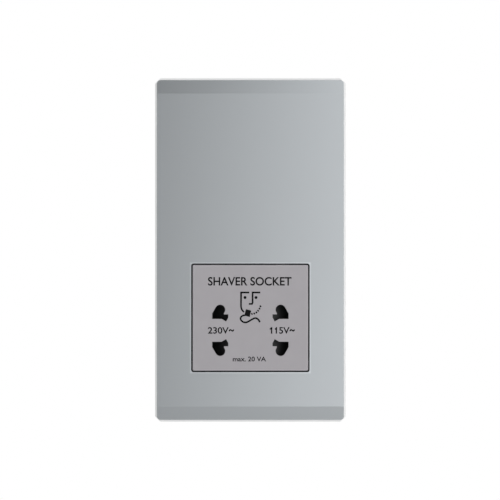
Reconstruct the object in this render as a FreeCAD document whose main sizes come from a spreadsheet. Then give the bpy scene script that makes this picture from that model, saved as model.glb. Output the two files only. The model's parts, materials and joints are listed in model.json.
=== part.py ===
import FreeCAD, Part
import math
import os
import re
import Sketcher

# Shaver socket for a two-gang wall box. Millimetres, +Z up, the front looks along -Y.
# The origin is the middle of the two wall fixings, in the plane of the wall.

Vector = FreeCAD.Vector
doc = FreeCAD.newDocument("ShaverSocket")
sheet = doc.addObject("Spreadsheet::Sheet", "Sizes")

sizes = [
    # front sheet
    ("plate_width", "86", "front sheet across"),
    ("plate_height", "156.4", "front sheet from top to bottom"),
    ("plate_corner", "1.7", "corner radius of the sheet"),
    ("plate_front", "11", "wall to the front of the sheet"),
    ("sheet_gauge", "0.8", "sheet metal"),
    ("strip_height", "6.2", "strip bent back at the top and the bottom"),
    ("strip_fall", "1", "how far the strips fall back"),
    ("window_width", "54.5", "window for the insert, across"),
    ("window_height", "50", "window for the insert, up"),
    ("window_corner", "1.1", "corner radius of the window"),
    ("window_drop", "31.2", "window centre below the middle of the plate"),
    # frame behind the sheet
    ("rim_reveal", "0.9", "pale rim seen beside the sheet"),
    ("rim_corner", "2.5", "corners of the rim cut back at 45 degrees"),
    ("frame_wall", "2", "outer walls of the frame"),
    ("frame_web", "1.6", "web that the sheet is bonded to"),
    ("collar_wall", "1.4", "collar round the window"),
    ("collar_height", "3.5", "collar behind the web"),
    ("latch_width", "7", "latch leg, along the edge"),
    ("latch_gauge", "1.4", "latch leg, thick"),
    ("latch_rise", "40", "latches above and below the middle"),
    ("latch_catch", "0.7", "barb behind the mounting plate"),
    ("latch_nose", "1.6", "barb, from its catch to its nose"),
    # socket insert
    ("insert_gap", "0.7", "shadow gap round the insert"),
    ("insert_proud", "0.5", "insert in front of the sheet"),
    ("insert_face", "2", "face wall of the insert"),
    ("insert_wall", "0.9", "skirt of the insert"),
    ("insert_corner", "0.6", "corner radius of the insert"),
    ("insert_edge", "0.35", "chamfer of the face's rim"),
    ("clip_spread", "30", "insert clips, middle to middle"),
    ("clip_width", "6", "insert clip across"),
    ("clip_gauge", "1.2", "insert clip thick"),
    ("clip_catch", "0.6", "insert clip behind the cover"),
    ("clip_room", "1", "room beside an insert clip in the mounting plate"),
    # pin apertures, each a union of round pins and flat blades
    ("outlet_spread", "27.8", "one outlet's pin line to the other's"),
    ("outlet_drop", "5.75", "outlets below the middle of the insert"),
    ("lobe_pitch", "18.94", "round lobes, centre to centre"),
    ("lobe_radius", "2.32", "round lobe"),
    ("slot_reach", "3.66", "outer wall from the pin line"),
    ("base_gap", "10.5", "bridge between the upper and the lower aperture"),
    ("arm_root", "0.64", "slanted arm starts here on the bridge"),
    ("arm_tip", "2.71", "point of the slanted arm"),
    ("arm_reach", "3.73", "inner wall of the arm from the pin line"),
    ("arm_height", "7.35", "upper edge of the arm from the outlets' level"),
    ("arm_notch", "1.75", "where the arm meets the lobe"),
    ("blade_angle", "30", "slant of the blades, in degrees"),
    # shutter
    ("shutter_lap", "0.12", "slide past the apertures on each side"),
    ("shutter_cover", "0.8", "slide past the lobes, above and below"),
    ("running_gap", "0.3", "room for the slide to run"),
    ("ramp_edge", "0.6", "thin outer end of the ramps"),
    ("finger_width", "1.6", "switch finger across"),
    ("finger_height", "3", "switch finger up"),
    ("finger_drop", "8", "switch finger below the outlets' level"),
    ("spring_seat", "3.5", "inner end of a centring spring from the middle"),
    ("spring_length", "11", "centring spring at rest"),
    ("coil_radius", "1.6", "centring spring, mean radius"),
    ("coil_wire", "0.4", "centring spring wire"),
    ("coil_turns", "5", "turns of a centring spring"),
    ("spring_room", "0.2", "room round a centring spring"),
    ("post_width", "1.5", "spring post across"),
    ("post_height", "1.8", "spring post up"),
    # contact carrier
    ("deck_proud", "0.2", "deck of the carrier in front of the cover"),
    ("carrier_wall", "2.4", "carrier outside the contact pockets"),
    ("carrier_rear", "11", "carrier block behind the wall plane"),
    ("carrier_floor", "2", "floor of the contact pockets"),
    ("flange_room", "0.8", "flange inside the housing"),
    ("rail_height", "3", "rails above and below the slide"),
    ("rail_gauge", "1.2", "rails, thick"),
    ("pocket_room", "0.4", "contact pocket past the aperture"),
    ("flange_top", "17", "flange above the outlets' level"),
    ("flange_low", "8", "flange below the outlets' level"),
    # contacts
    ("contact_gauge", "0.5", "contact strip"),
    ("slant_gauge", "0.65", "contact strip measured upright where it slants"),
    ("contact_elbow", "2", "sprung leg leaves the base here"),
    ("contact_width", "6.4", "contact strip across"),
    ("contact_mouth", "2", "mouth in front of the wall plane"),
    ("contact_grip", "3", "gripping point behind the wall plane"),
    ("contact_slack", "1.6", "gap at the gripping point"),
    ("tail_width", "3", "solder tail across"),
    ("tail_reach", "4", "solder tail behind the pocket"),
    ("fit_gap", "0.2", "room where one piece enters another"),
    # leaf switch
    ("leaf_gauge", "0.3", "moving leaf"),
    ("leaf_offset", "2.6", "moving leaf from the middle"),
    ("leaf_width", "4", "moving leaf, front to back"),
    ("leaf_stand", "1.2", "moving leaf behind the carrier"),
    ("leaf_low", "10", "moving leaf below the outlets' level"),
    ("anvil_gauge", "0.8", "fixed contact"),
    ("anvil_offset", "5.6", "fixed contact from the middle"),
    ("anvil_low", "5.6", "fixed contact below the outlets' level"),
    ("root_top", "6", "root of leaf and anvil above the outlets' level"),
    ("root_height", "3.5", "root of leaf and anvil"),
    ("root_depth", "1.4", "root in the carrier"),
    ("stud_radius", "1.2", "contact stud"),
    ("stud_drop", "3.8", "contact stud below the outlets' level"),
    ("stud_rise", "0.5", "contact stud, proud"),
    # mounting plate and cover
    ("strap_gauge", "1.2", "mounting plate"),
    ("strap_margin", "1.5", "mounting plate inside the frame"),
    ("strap_corner", "3", "corner radius of the mounting plate"),
    ("fixing_pitch", "120.6", "wall fixings, centre to centre"),
    ("fixing_radius", "2", "wall fixing hole"),
    ("cover_gauge", "2", "housing cover"),
    ("cover_lap", "2", "cover past the housing"),
    ("cover_lip", "1.1", "cover below the insert"),
    # rear housing
    ("housing_wall", "1.8", "housing walls"),
    ("housing_room", "0.25", "carrier above the housing's lower wall"),
    ("housing_corner", "3.5", "upright corners of the housing"),
    ("housing_edge", "1.5", "chamfer of the rear edges"),
    ("housing_draft", "0.75", "taper of the housing's sides, in degrees"),
    ("panel_width", "44", "sunk panel on the housing's back, across"),
    ("panel_height", "62", "sunk panel, up"),
    ("panel_depth", "0.5", "sunk panel, deep"),
    ("step_drop", "36", "terminal step below the middle"),
    ("step_depth", "24", "terminal step behind the wall plane"),
    ("boss_radius", "3.2", "screw boss"),
    ("boss_inset", "2.6", "screw boss from the inner walls"),
    ("pilot_radius", "1.4", "housing screw and its pilot hole"),
    ("pilot_depth", "13", "pilot hole"),
    ("ledge_width", "2.2", "ledge under the carrier's flange"),
    ("ledge_depth", "8", "ledge"),
    ("core_post_width", "5", "square posts that hold the core"),
    ("rib_width", "1.4", "ribs on the housing's sides"),
    ("rib_proud", "0.8", "ribs, proud of the sides"),
    ("rib_start", "4", "ribs start behind the wall plane"),
    ("rib_pitch", "24", "one rib to the next"),
    # screws
    ("screw_length", "13", "housing screw under its head"),
    ("head_radius", "2.6", "screw head"),
    ("head_height", "1.4", "screw head"),
    ("hole_room", "0.2", "clearance round a screw"),
    # transformer
    ("core_half_width", "9", "half the centre leg of the core"),
    ("core_stack", "18", "thickness of the laminations"),
    ("core_height", "19", "middle of the core above the middle of the plate"),
    ("core_side_room", "2.2", "room beside the core"),
    ("core_head_room", "9.7", "room above the core"),
    ("core_front_room", "1.5", "bobbin behind the wall plane"),
    ("core_rear_room", "1.3", "bobbin in front of the housing's floor"),
    ("bobbin_wall", "1", "tube of the bobbin"),
    ("bobbin_flange", "1.2", "flanges of the bobbin"),
    ("core_room", "0.3", "room between core and bobbin"),
    ("winding_margin", "0.6", "windings inside the bobbin's flanges"),
    ("winding_corner", "2.5", "outer corners of the windings"),
    ("cutout_width", "14", "thermal cut-out across"),
    ("cutout_height", "7", "thermal cut-out up"),
    ("cutout_gauge", "2.6", "thermal cut-out, front to back"),
    # terminals
    ("terminal_pitch", "13", "terminals, middle to middle"),
    ("terminal_width", "7", "terminal across"),
    ("terminal_height", "9", "terminal up"),
    ("terminal_depth", "9", "terminal, front to back"),
    ("terminal_room", "5", "terminals below the step"),
    ("bore_radius", "1.75", "wire bore"),
    ("bore_depth", "4", "wire bore from the terminal's seat"),
    ("clamp_radius", "1.9", "clamping screw"),
    ("clamp_proud", "0.6", "clamping screw, proud of its terminal"),
    ("barrier_gauge", "1.6", "barriers between the terminals"),
    ("barrier_depth", "12", "barriers behind the step"),
    ("tag_gauge", "1", "terminal tag through the housing"),
    ("tag_height", "4", "terminal tag up"),
    ("tag_reach", "4.5", "terminal tag inwards"),
    # leads
    ("lead_radius", "0.6", "insulated lead"),
    ("lead_spread", "2.75", "leads side by side in front of the bobbin"),
    ("lead_rise", "3", "one lead above another where they cross"),
    ("lead_stand", "2", "leads stand off the contact tails"),
]
for row, (alias, number, meaning) in enumerate(sizes, 1):
    sheet.set(f"A{row}", meaning)
    sheet.set(f"B{row}", number)
    sheet.setAlias(f"B{row}", alias)
doc.recompute()


def tied(text):
    """An expression on the sheet's aliases, as the document reads it."""
    return re.sub(r"[a-z]+(?:_[a-z]+)+", lambda alias: "Sizes." + alias.group(), text)


def value(text):
    """What an expression on the sheet's aliases comes to."""
    return float(sheet.evalExpression(tied(text)))


# Springs and leads are drawn with flats, which keeps their meshes light
wire_sides = 4
coil_steps = 10
lead_sides = 6

# Levels in front of the wall plane
sheet_back = "(plate_front - sheet_gauge)"
web_back = "(plate_front - sheet_gauge - frame_web)"
face_front = "(plate_front + insert_proud)"
face_back = "(plate_front + insert_proud - insert_face)"
cover_front = "(strap_gauge + cover_gauge)"
deck = "(strap_gauge + cover_gauge + deck_proud)"
slide_back = "(strap_gauge + cover_gauge + deck_proud + running_gap)"
slide_front = "(plate_front + insert_proud - insert_face - running_gap)"

# Widths, heights and places that several pieces share
outlet_level = "(-window_drop - outlet_drop)"
frame_half_width = "(plate_width/2 + rim_reveal)"
frame_half_height = "(plate_height/2 + rim_reveal)"
insert_half_width = "(window_width/2 - insert_gap)"
insert_half_height = "(window_height/2 - insert_gap)"
insert_top = f"(outlet_drop + {insert_half_height})"
insert_bottom = f"(outlet_drop - {insert_half_height})"
pin_line = "(outlet_spread/2)"
lobe_top = "(lobe_pitch/2 + lobe_radius)"
arm_point = "(base_gap/2 - (arm_tip - arm_root)*tan(blade_angle))"
slide_half = "(outlet_spread/2 + slot_reach + shutter_lap)"
slide_half_height = f"({lobe_top} + shutter_cover)"
slide_travel = "(slot_reach + arm_reach + 2*shutter_lap)"
ramp_top = "(outlet_spread/2 - arm_reach - shutter_lap)"
groove_depth = "(2*coil_radius + coil_wire + 2*spring_room)"
spring_front = f"({slide_back} + {groove_depth}/2)"
post_front = f"({slide_back} + {groove_depth} - 2*spring_room)"
carrier_half_width = "(outlet_spread/2 + slot_reach + pocket_room + carrier_wall)"
carrier_half_height = f"({slide_half_height} + running_gap + rail_gauge)"
pocket_low = f"({arm_point} - pocket_room)"
pocket_high = f"({lobe_top} + pocket_room)"
pocket_floor = "(carrier_rear - carrier_floor)"
leaf_front = "(carrier_rear + leaf_stand)"
finger_rear = f"({leaf_front} + leaf_width/2)"

# The transformer and the housing round it, measured behind the wall plane
tube_across = "(core_half_width + core_room + bobbin_wall)"
tube_deep = "(core_stack/2 + core_room + bobbin_wall)"
flange_across = "(2*core_half_width - core_room)"
flange_deep = "(core_stack/2 + core_half_width - core_room)"
core_depth = f"({flange_deep} + core_front_room)"
core_front = f"({core_depth} - core_stack/2)"
core_back = f"({core_depth} + core_stack/2)"
core_post_across = "(3*core_half_width - core_post_width/2)"
core_post_up = "(2.5*core_half_width - core_post_width/2)"
inner_half_width = "(3*core_half_width + core_side_room)"
inner_top = "(core_height + 2.5*core_half_width + core_head_room)"
inner_low = f"({outlet_level} - {carrier_half_height} - housing_room)"
inner_floor = f"({core_depth} + {flange_deep} + core_rear_room)"
housing_half_width = f"({inner_half_width} + housing_wall)"
housing_top = f"({inner_top} + housing_wall)"
housing_low = f"({inner_low} - housing_wall)"
housing_depth = f"({inner_floor} + housing_wall)"
step_floor = "(step_depth - housing_wall)"
boss_across = f"({inner_half_width} - boss_inset)"
boss_levels = {-1: f"({inner_low} + boss_inset)", 1: f"({inner_top} - boss_inset)"}
latch_across = f"({housing_half_width} + cover_lap + latch_gauge)"
terminal_level = "(-step_drop - terminal_room - terminal_height/2)"

# Where the leads run: depths behind the wall plane, then heights
loom_depth = f"(({leaf_front} + leaf_width + step_depth - tag_reach)/2)"
tag_end = "(step_depth - tag_reach)"
tail_end = f"({pocket_floor} + tail_reach)"
lead_front = "((core_front_room - strap_gauge)/2)"
winding_front = "(core_front_room + winding_margin)"
root_front = f"({leaf_front} + leaf_width/4)"
root_rear = f"({leaf_front} + 3*leaf_width/4)"
root_level = f"({outlet_level} + root_top)"
tail_level = f"({pocket_low} + fit_gap + contact_gauge/2)"
crossing = f"{outlet_level} + flange_top + lead_rise"
core_low = "(core_height - 2.5*core_half_width)"
bobbin_low = "(core_height - 1.5*core_half_width + core_room)"
bobbin_length = "(3*core_half_width - 2*core_room)"
chamber = f"(({bobbin_length} - 3*bobbin_flange)/2)"
secondary_middle = f"({bobbin_low} + bobbin_flange + {chamber}/2)"
primary_middle = f"({secondary_middle} + bobbin_flange + {chamber})"

subparts = []


def new_body(label, level="0"):
    """A sub-part made feature by feature, with its own origin at the given height."""
    body = doc.addObject("PartDesign::Body", label)
    body.Label = label
    body.setExpression("Placement.Base.z", tied(level))
    subparts.append(body)
    return body


def new_sketch(body, name, plane="XZ_Plane", offset="0"):
    """A sketch on an origin plane. On the XZ plane the offset is towards the front."""
    sketch = body.newObject("Sketcher::SketchObject", name)
    support = next(f for f in body.Origin.OriginFeatures if f.Role == plane)
    sketch.AttachmentSupport = [(support, "")]
    sketch.MapMode = "FlatFace"
    sketch.setExpression("AttachmentOffset.Base.z", tied(offset))
    return sketch


def hold(sketch, kind, *where, size):
    """A dimension of a sketch, tied to the sheet."""
    index = sketch.addConstraint(Sketcher.Constraint(kind, *where, value(size)))
    sketch.setExpression(f"Constraints[{index}]", tied(size))


def hold_point(sketch, line, end, across, up):
    hold(sketch, "DistanceX", -1, 1, line, end, size=across)
    hold(sketch, "DistanceY", -1, 1, line, end, size=up)


def polygon(sketch, corners):
    """A closed outline with straight sides through the corners."""
    points = [Vector(value(across), value(up)) for across, up in corners]
    first = sketch.GeometryCount
    count = len(points)
    for n in range(count):
        sketch.addGeometry(Part.LineSegment(points[n], points[(n + 1) % count]))
    for n in range(count):
        joint = Sketcher.Constraint("Coincident", first + n, 2, first + (n + 1) % count, 1)
        sketch.addConstraint(joint)
    for n, (across, up) in enumerate(corners):
        hold_point(sketch, first + n, 1, across, up)


def rectangle(sketch, left, right, low, high):
    polygon(sketch, [(left, low), (right, low), (right, high), (left, high)])


def rounded(sketch, left, right, low, high, radius):
    """A rectangle with round corners."""
    x0, x1, y0, y1, r = (value(text) for text in (left, right, low, high, radius))
    straight = [
        (Vector(x0 + r, y0), Vector(x1 - r, y0)),
        (Vector(x1, y0 + r), Vector(x1, y1 - r)),
        (Vector(x1 - r, y1), Vector(x0 + r, y1)),
        (Vector(x0, y1 - r), Vector(x0, y0 + r)),
    ]
    centres = [(x1 - r, y0 + r), (x1 - r, y1 - r), (x0 + r, y1 - r), (x0 + r, y0 + r)]
    first = sketch.GeometryCount
    for n in range(4):
        sketch.addGeometry(Part.LineSegment(*straight[n]))
        circle = Part.Circle(Vector(*centres[n]), Vector(0, 0, 1), r)
        start = math.radians(90 * (n - 1))
        sketch.addGeometry(Part.ArcOfCircle(circle, start, start + math.radians(90)))
    for n in range(4):
        line = first + 2 * n
        following = first + (2 * n + 2) % 8
        sketch.addConstraint(Sketcher.Constraint("Tangent", line, 2, line + 1, 1))
        sketch.addConstraint(Sketcher.Constraint("Tangent", line + 1, 2, following, 1))
        sketch.addConstraint(Sketcher.Constraint(("Horizontal", "Vertical")[n % 2], line))
    for n in range(1, 4):
        sketch.addConstraint(Sketcher.Constraint("Equal", first + 1, first + 1 + 2 * n))
    hold(sketch, "Radius", first + 1, size=radius)
    hold(sketch, "DistanceY", -1, 1, first, 1, size=low)
    hold(sketch, "DistanceX", -1, 1, first + 2, 1, size=right)
    hold(sketch, "DistanceY", -1, 1, first + 4, 1, size=high)
    hold(sketch, "DistanceX", -1, 1, first + 6, 1, size=left)


def chamfered(sketch, left, right, low, high, cut):
    """A rectangle with its corners cut at 45 degrees."""
    polygon(sketch, [
        (f"{left} + {cut}", low), (f"{right} - {cut}", low), (right, f"{low} + {cut}"),
        (right, f"{high} - {cut}"), (f"{right} - {cut}", high), (f"{left} + {cut}", high),
        (left, f"{high} - {cut}"), (left, f"{low} + {cut}"),
    ])


def disc(sketch, across, up, radius):
    """A circle."""
    centre = Vector(value(across), value(up))
    circle = sketch.addGeometry(Part.Circle(centre, Vector(0, 0, 1), value(radius)))
    hold(sketch, "Radius", circle, size=radius)
    hold_point(sketch, circle, 3, across, up)


def pad(sketch, length, to_rear=False, both_ways=False):
    """Adds what the sketch outlines, along its normal unless turned round."""
    return extrude(sketch, "PartDesign::Pad", length, to_rear, both_ways)


def pocket(sketch, length, to_front=False, both_ways=False):
    """Cuts what the sketch outlines, against its normal unless turned round."""
    before = sketch.getParentGeoFeatureGroup().Tip.Shape.Volume
    feature = extrude(sketch, "PartDesign::Pocket", length, to_front, both_ways)
    if feature.Shape.isNull() or feature.Shape.Volume > before - 1e-6:
        raise ValueError(f"{feature.Label} cuts nothing")
    return feature


def extrude(sketch, kind, length, turned, both_ways):
    body = sketch.getParentGeoFeatureGroup()
    feature = body.newObject(kind, f"{sketch.Name}_{kind.split('::')[1]}")
    feature.Profile = sketch
    feature.setExpression("Length", tied(length))
    feature.Reversed = turned
    feature.SideType = "Symmetric" if both_ways else "One side"
    sketch.Visibility = False
    doc.recompute()
    return feature


def soften(body, kind, size, chosen):
    """Rounds or chamfers the chosen edges of a body."""
    base = body.Tip
    names = [f"Edge{n}" for n, edge in enumerate(base.Shape.Edges, 1) if chosen(edge)]
    feature = body.newObject(f"PartDesign::{kind}", f"{body.Name}_{kind}")
    feature.Base = (base, names)
    feature.setExpression("Radius" if kind == "Fillet" else "Size", tied(size))
    doc.recompute()
    return feature


def runs_along(edge, axis):
    """Whether an edge is straight along X (0), Y (1) or Z (2)."""
    if len(edge.Vertexes) != 2:
        return False
    step = edge.Vertexes[1].Point - edge.Vertexes[0].Point
    return abs(step[axis]) > 0.999 * edge.Length


def near(one, other):
    return abs(one - other) < 1e-4


def aperture(sketch, side, above):
    """One pin aperture: a round lobe, a flat-blade slot and a slanted-blade arm."""
    lobe = "(lobe_pitch/2)"
    base = "(base_gap/2)"
    slant = "tan(blade_angle)"
    flank = "lobe_radius*cos(blade_angle)"
    shoulder = f"({lobe} + lobe_radius*sin(blade_angle))"
    outline = [
        ("-slot_reach", base),
        ("arm_root", base),
        ("arm_tip", arm_point),
        ("arm_reach", f"{arm_point} + (arm_reach - arm_tip)/{slant}"),
        ("arm_reach", "arm_height"),
        ("arm_notch", "arm_height"),
        ("arm_notch", f"{lobe} - sqrt(pow(lobe_radius; 2) - pow(arm_notch; 2))"),
        (f"-{flank}", shoulder),
        ("-slot_reach", f"{shoulder} - (slot_reach - {flank})/{slant}"),
    ]
    placed = [(f"{side}*({across} - {pin_line})", f"{above}*({up})") for across, up in outline]
    points = [Vector(value(across), value(up)) for across, up in placed]
    crown = Vector(-side * value(pin_line), above * (value(lobe) + value("lobe_radius")))
    first = sketch.GeometryCount
    arc = first + 6
    count = len(points)
    for n in range(count):
        if first + n == arc:
            sketch.addGeometry(Part.Arc(points[n], crown, points[n + 1]))
        else:
            sketch.addGeometry(Part.LineSegment(points[n], points[(n + 1) % count]))
    turns_left = side * above > 0
    arc_start, arc_end = (1, 2) if turns_left else (2, 1)
    for n in range(count):
        this_end = arc_end if first + n == arc else 2
        next_line = first + (n + 1) % count
        next_end = arc_start if next_line == arc else 1
        sketch.addConstraint(
            Sketcher.Constraint("Coincident", first + n, this_end, next_line, next_end)
        )
    hold_point(sketch, arc, 3, f"{-side}*{pin_line}", f"{above}*{lobe}")
    hold(sketch, "Radius", arc, size="lobe_radius")
    for n in (0, 1, 2, 3, 4, 5, 8):
        hold_point(sketch, first + n, 1, *placed[n])
    for n in (6, 7):
        end = arc_start if n == 6 else 1
        hold(sketch, "DistanceX", -1, 1, first + n, end, size=placed[n][0])


def front_sheet():
    """Sheet metal front: a flat field, its ends bent back, and a window."""
    body = new_body("front_sheet")
    section = new_sketch(body, "SheetSection", "YZ_Plane")
    end = "(plate_height/2)"
    fold = "(plate_height/2 - strip_height)"
    fallen = "(plate_front - strip_fall)"
    polygon(section, [
        (f"-{fallen}", f"-{end}"),
        ("-plate_front", f"-{fold}"),
        ("-plate_front", fold),
        (f"-{fallen}", end),
        (f"sheet_gauge - {fallen}", end),
        ("sheet_gauge - plate_front", fold),
        ("sheet_gauge - plate_front", f"-{fold}"),
        (f"sheet_gauge - {fallen}", f"-{end}"),
    ])
    pad(section, "plate_width", both_ways=True)
    side, top = value("plate_width/2"), value(end)
    soften(body, "Fillet", "plate_corner", lambda edge: runs_along(edge, 1)
           and near(abs(edge.CenterOfMass.x), side) and near(abs(edge.CenterOfMass.z), top))
    window = new_sketch(body, "SheetWindow", offset="plate_front")
    window_outline(window, "0", "window_corner")
    pocket(window, "sheet_gauge")


def window_outline(sketch, room, radius):
    """The window's outline, with room all round."""
    half_width = f"(window_width/2 + {room})"
    half_height = f"(window_height/2 + {room})"
    rounded(sketch, f"-{half_width}", half_width,
            f"-window_drop - {half_height}", f"-window_drop + {half_height}", radius)


def front_frame():
    """Moulded frame under the sheet: a bevelled rim, a web, a collar and four latches."""
    body = new_body("front_frame")
    section = new_sketch(body, "FrameSection", "YZ_Plane")
    fold = "(plate_height/2 - strip_height)"
    fallen = f"({sheet_back} - strip_fall)"
    polygon(section, [
        ("0", f"-{frame_half_height}"),
        (f"rim_reveal - {fallen}", f"-{frame_half_height}"),
        (f"-{fallen}", "-plate_height/2"),
        (f"-{sheet_back}", f"-{fold}"),
        (f"-{sheet_back}", fold),
        (f"-{fallen}", "plate_height/2"),
        (f"rim_reveal - {fallen}", frame_half_height),
        ("0", frame_half_height),
    ])
    pad(section, f"2*{frame_half_width}", both_ways=True)
    side, top = value(frame_half_width), value(frame_half_height)
    soften(body, "Chamfer", "rim_corner", lambda edge: runs_along(edge, 1)
           and near(abs(edge.CenterOfMass.x), side) and near(abs(edge.CenterOfMass.z), top))
    bevel_start = value(fallen) - value("rim_reveal")
    soften(body, "Chamfer", "rim_reveal", lambda edge: near(abs(edge.CenterOfMass.x), side)
           and -edge.CenterOfMass.y > bevel_start + 1e-3
           and abs(edge.CenterOfMass.z) < value("plate_height/2"))

    hollow = new_sketch(body, "FrameHollow")
    inside = "frame_wall"
    rectangle(hollow, f"{inside} - {frame_half_width}", f"{frame_half_width} - {inside}",
              f"{inside} - {frame_half_height}", f"{frame_half_height} - {inside}")
    pocket(hollow, web_back, to_front=True)
    collar = new_sketch(body, "FrameCollar", offset=web_back)
    window_outline(collar, "insert_gap + collar_wall", "window_corner + insert_gap + collar_wall")
    pad(collar, "collar_height", to_rear=True)
    window = new_sketch(body, "FrameWindow", offset=sheet_back)
    window_outline(window, "insert_gap", "window_corner + insert_gap")
    pocket(window, "frame_web + collar_height")

    legs = new_sketch(body, "FrameLatchLegs", offset=web_back)
    for side in (-1, 1):
        for above in (-1, 1):
            ends = [f"{side}*({latch_across} + {half}*latch_gauge/2)" for half in (-side, side)]
            rectangle(legs, *ends, f"{above}*latch_rise - latch_width/2",
                      f"{above}*latch_rise + latch_width/2")
    pad(legs, f"{web_back} + latch_nose", to_rear=True)
    for above, name in ((-1, "FrameLowerBarbs"), (1, "FrameUpperBarbs")):
        barbs = new_sketch(body, name, "XY_Plane", f"{above}*latch_rise - latch_width/2")
        outer = f"({latch_across} + latch_gauge/2)"
        for side in (-1, 1):
            polygon(barbs, [
                (f"{side}*({outer} - latch_gauge/2)", "0"),
                (f"{side}*({outer} + latch_catch)", "0"),
                (f"{side}*{outer}", "latch_nose"),
                (f"{side}*({outer} - latch_gauge/2)", "latch_nose"),
            ])
        pad(barbs, "latch_width")


def socket_insert():
    """Moulded face with a skirt, four pin apertures and four clips."""
    body = new_body("socket_insert", outlet_level)
    block = new_sketch(body, "InsertBlock", offset=cover_front)
    rounded(block, f"-{insert_half_width}", insert_half_width, insert_bottom, insert_top,
            "insert_corner")
    pad(block, f"{face_front} - {cover_front}")
    front = value(face_front)
    soften(body, "Chamfer", "insert_edge", lambda edge: near(-edge.BoundBox.YMin, front)
           and near(-edge.BoundBox.YMax, front))
    hollow = new_sketch(body, "InsertHollow", offset=cover_front)
    rectangle(hollow, f"insert_wall - {insert_half_width}", f"{insert_half_width} - insert_wall",
              f"{insert_bottom} + insert_wall", f"{insert_top} - insert_wall")
    pocket(hollow, f"{face_back} - {cover_front}", to_front=True)
    holes = new_sketch(body, "InsertApertures", offset=face_front)
    for side in (-1, 1):
        for above in (-1, 1):
            aperture(holes, side, above)
    pocket(holes, "insert_face")

    legs = new_sketch(body, "InsertClips", offset=f"({cover_front} + insert_wall)")
    barbs = new_sketch(body, "InsertBarbs", offset="(strap_gauge - running_gap)")
    for side in (-1, 1):
        left = f"{side}*clip_spread/2 - clip_width/2"
        right = f"{side}*clip_spread/2 + clip_width/2"
        rectangle(legs, left, right, f"{insert_top} - clip_gauge", insert_top)
        rectangle(legs, left, right, insert_bottom, f"{insert_bottom} + clip_gauge")
        rectangle(barbs, left, right, f"{insert_top} - clip_gauge", f"{insert_top} + clip_catch")
        rectangle(barbs, left, right, f"{insert_bottom} - clip_catch",
                  f"{insert_bottom} + clip_gauge")
    pad(legs, f"{cover_front} + insert_wall - running_gap", to_rear=True)
    pad(barbs, "strap_gauge - 2*running_gap", to_rear=True)


def shutter_slide():
    """One slide for both outlets: pins of either outlet push its ramp and move it aside."""
    body = new_body("shutter_slide", outlet_level)
    section = new_sketch(body, "SlideSection", "XY_Plane")
    polygon(section, [
        (f"-{slide_half}", f"-{slide_back}"),
        (slide_half, f"-{slide_back}"),
        (slide_half, f"-{slide_back} - ramp_edge"),
        (ramp_top, f"-{slide_front}"),
        (f"-{ramp_top}", f"-{slide_front}"),
        (f"-{slide_half}", f"-{slide_back} - ramp_edge"),
    ])
    pad(section, f"2*{slide_half_height}", both_ways=True)
    grooves = new_sketch(body, "SlideSpringGrooves", offset=slide_back)
    groove_half = "(coil_radius + coil_wire/2 + spring_room)"
    for side in (-1, 1):
        rectangle(grooves, f"{side}*spring_seat", f"{side}*({slide_half} + ramp_edge)",
                  f"-{groove_half}", groove_half)
    pocket(grooves, groove_depth, to_front=True)
    finger = new_sketch(body, "SlideFinger", offset=slide_back)
    rectangle(finger, "-finger_width/2", "finger_width/2", "-finger_drop - finger_height/2",
              "-finger_drop + finger_height/2")
    pad(finger, f"{slide_back} + {finger_rear}", to_rear=True)


def swept(name, points, sides, radius):
    """A mitred bar along straight runs through the points."""
    line = doc.addObject("Part::Polygon", f"{name}_line")
    line.Nodes = points
    section = doc.addObject("Part::RegularPolygon", f"{name}_section")
    section.Polygon = sides
    section.setExpression("Circumradius", tied(radius))
    turn = FreeCAD.Rotation(Vector(0, 0, 1), points[1] - points[0])
    section.Placement = FreeCAD.Placement(points[0], turn)
    doc.recompute()
    bar = doc.addObject("Part::Sweep", name)
    bar.Label = name
    bar.Sections = [section]
    bar.Spine = (line, [f"Edge{n}" for n in range(1, len(points))])
    bar.Solid = True
    bar.Transition = "Right corner"
    return bar


def shutter_springs():
    """Two compression springs, each from a post of the carrier to its seat in the slide."""
    count = coil_steps * int(value("coil_turns"))
    first = value("spring_seat + coil_wire/2")
    run = value("spring_length - coil_wire")
    radius, depth, level = value("coil_radius"), -value(spring_front), value(outlet_level)
    coils = []
    for side, name in ((-1, "SpringLeft"), (1, "SpringRight")):
        points = []
        for n in range(count + 1):
            angle = 2 * math.pi * n / coil_steps
            points.append(Vector(side * (first + run * n / count), depth + radius * math.cos(angle),
                                 level + radius * math.sin(angle)))
        coils.append(swept(name, points, wire_sides, "coil_wire/2"))
    group("shutter_spring", coils)


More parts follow.
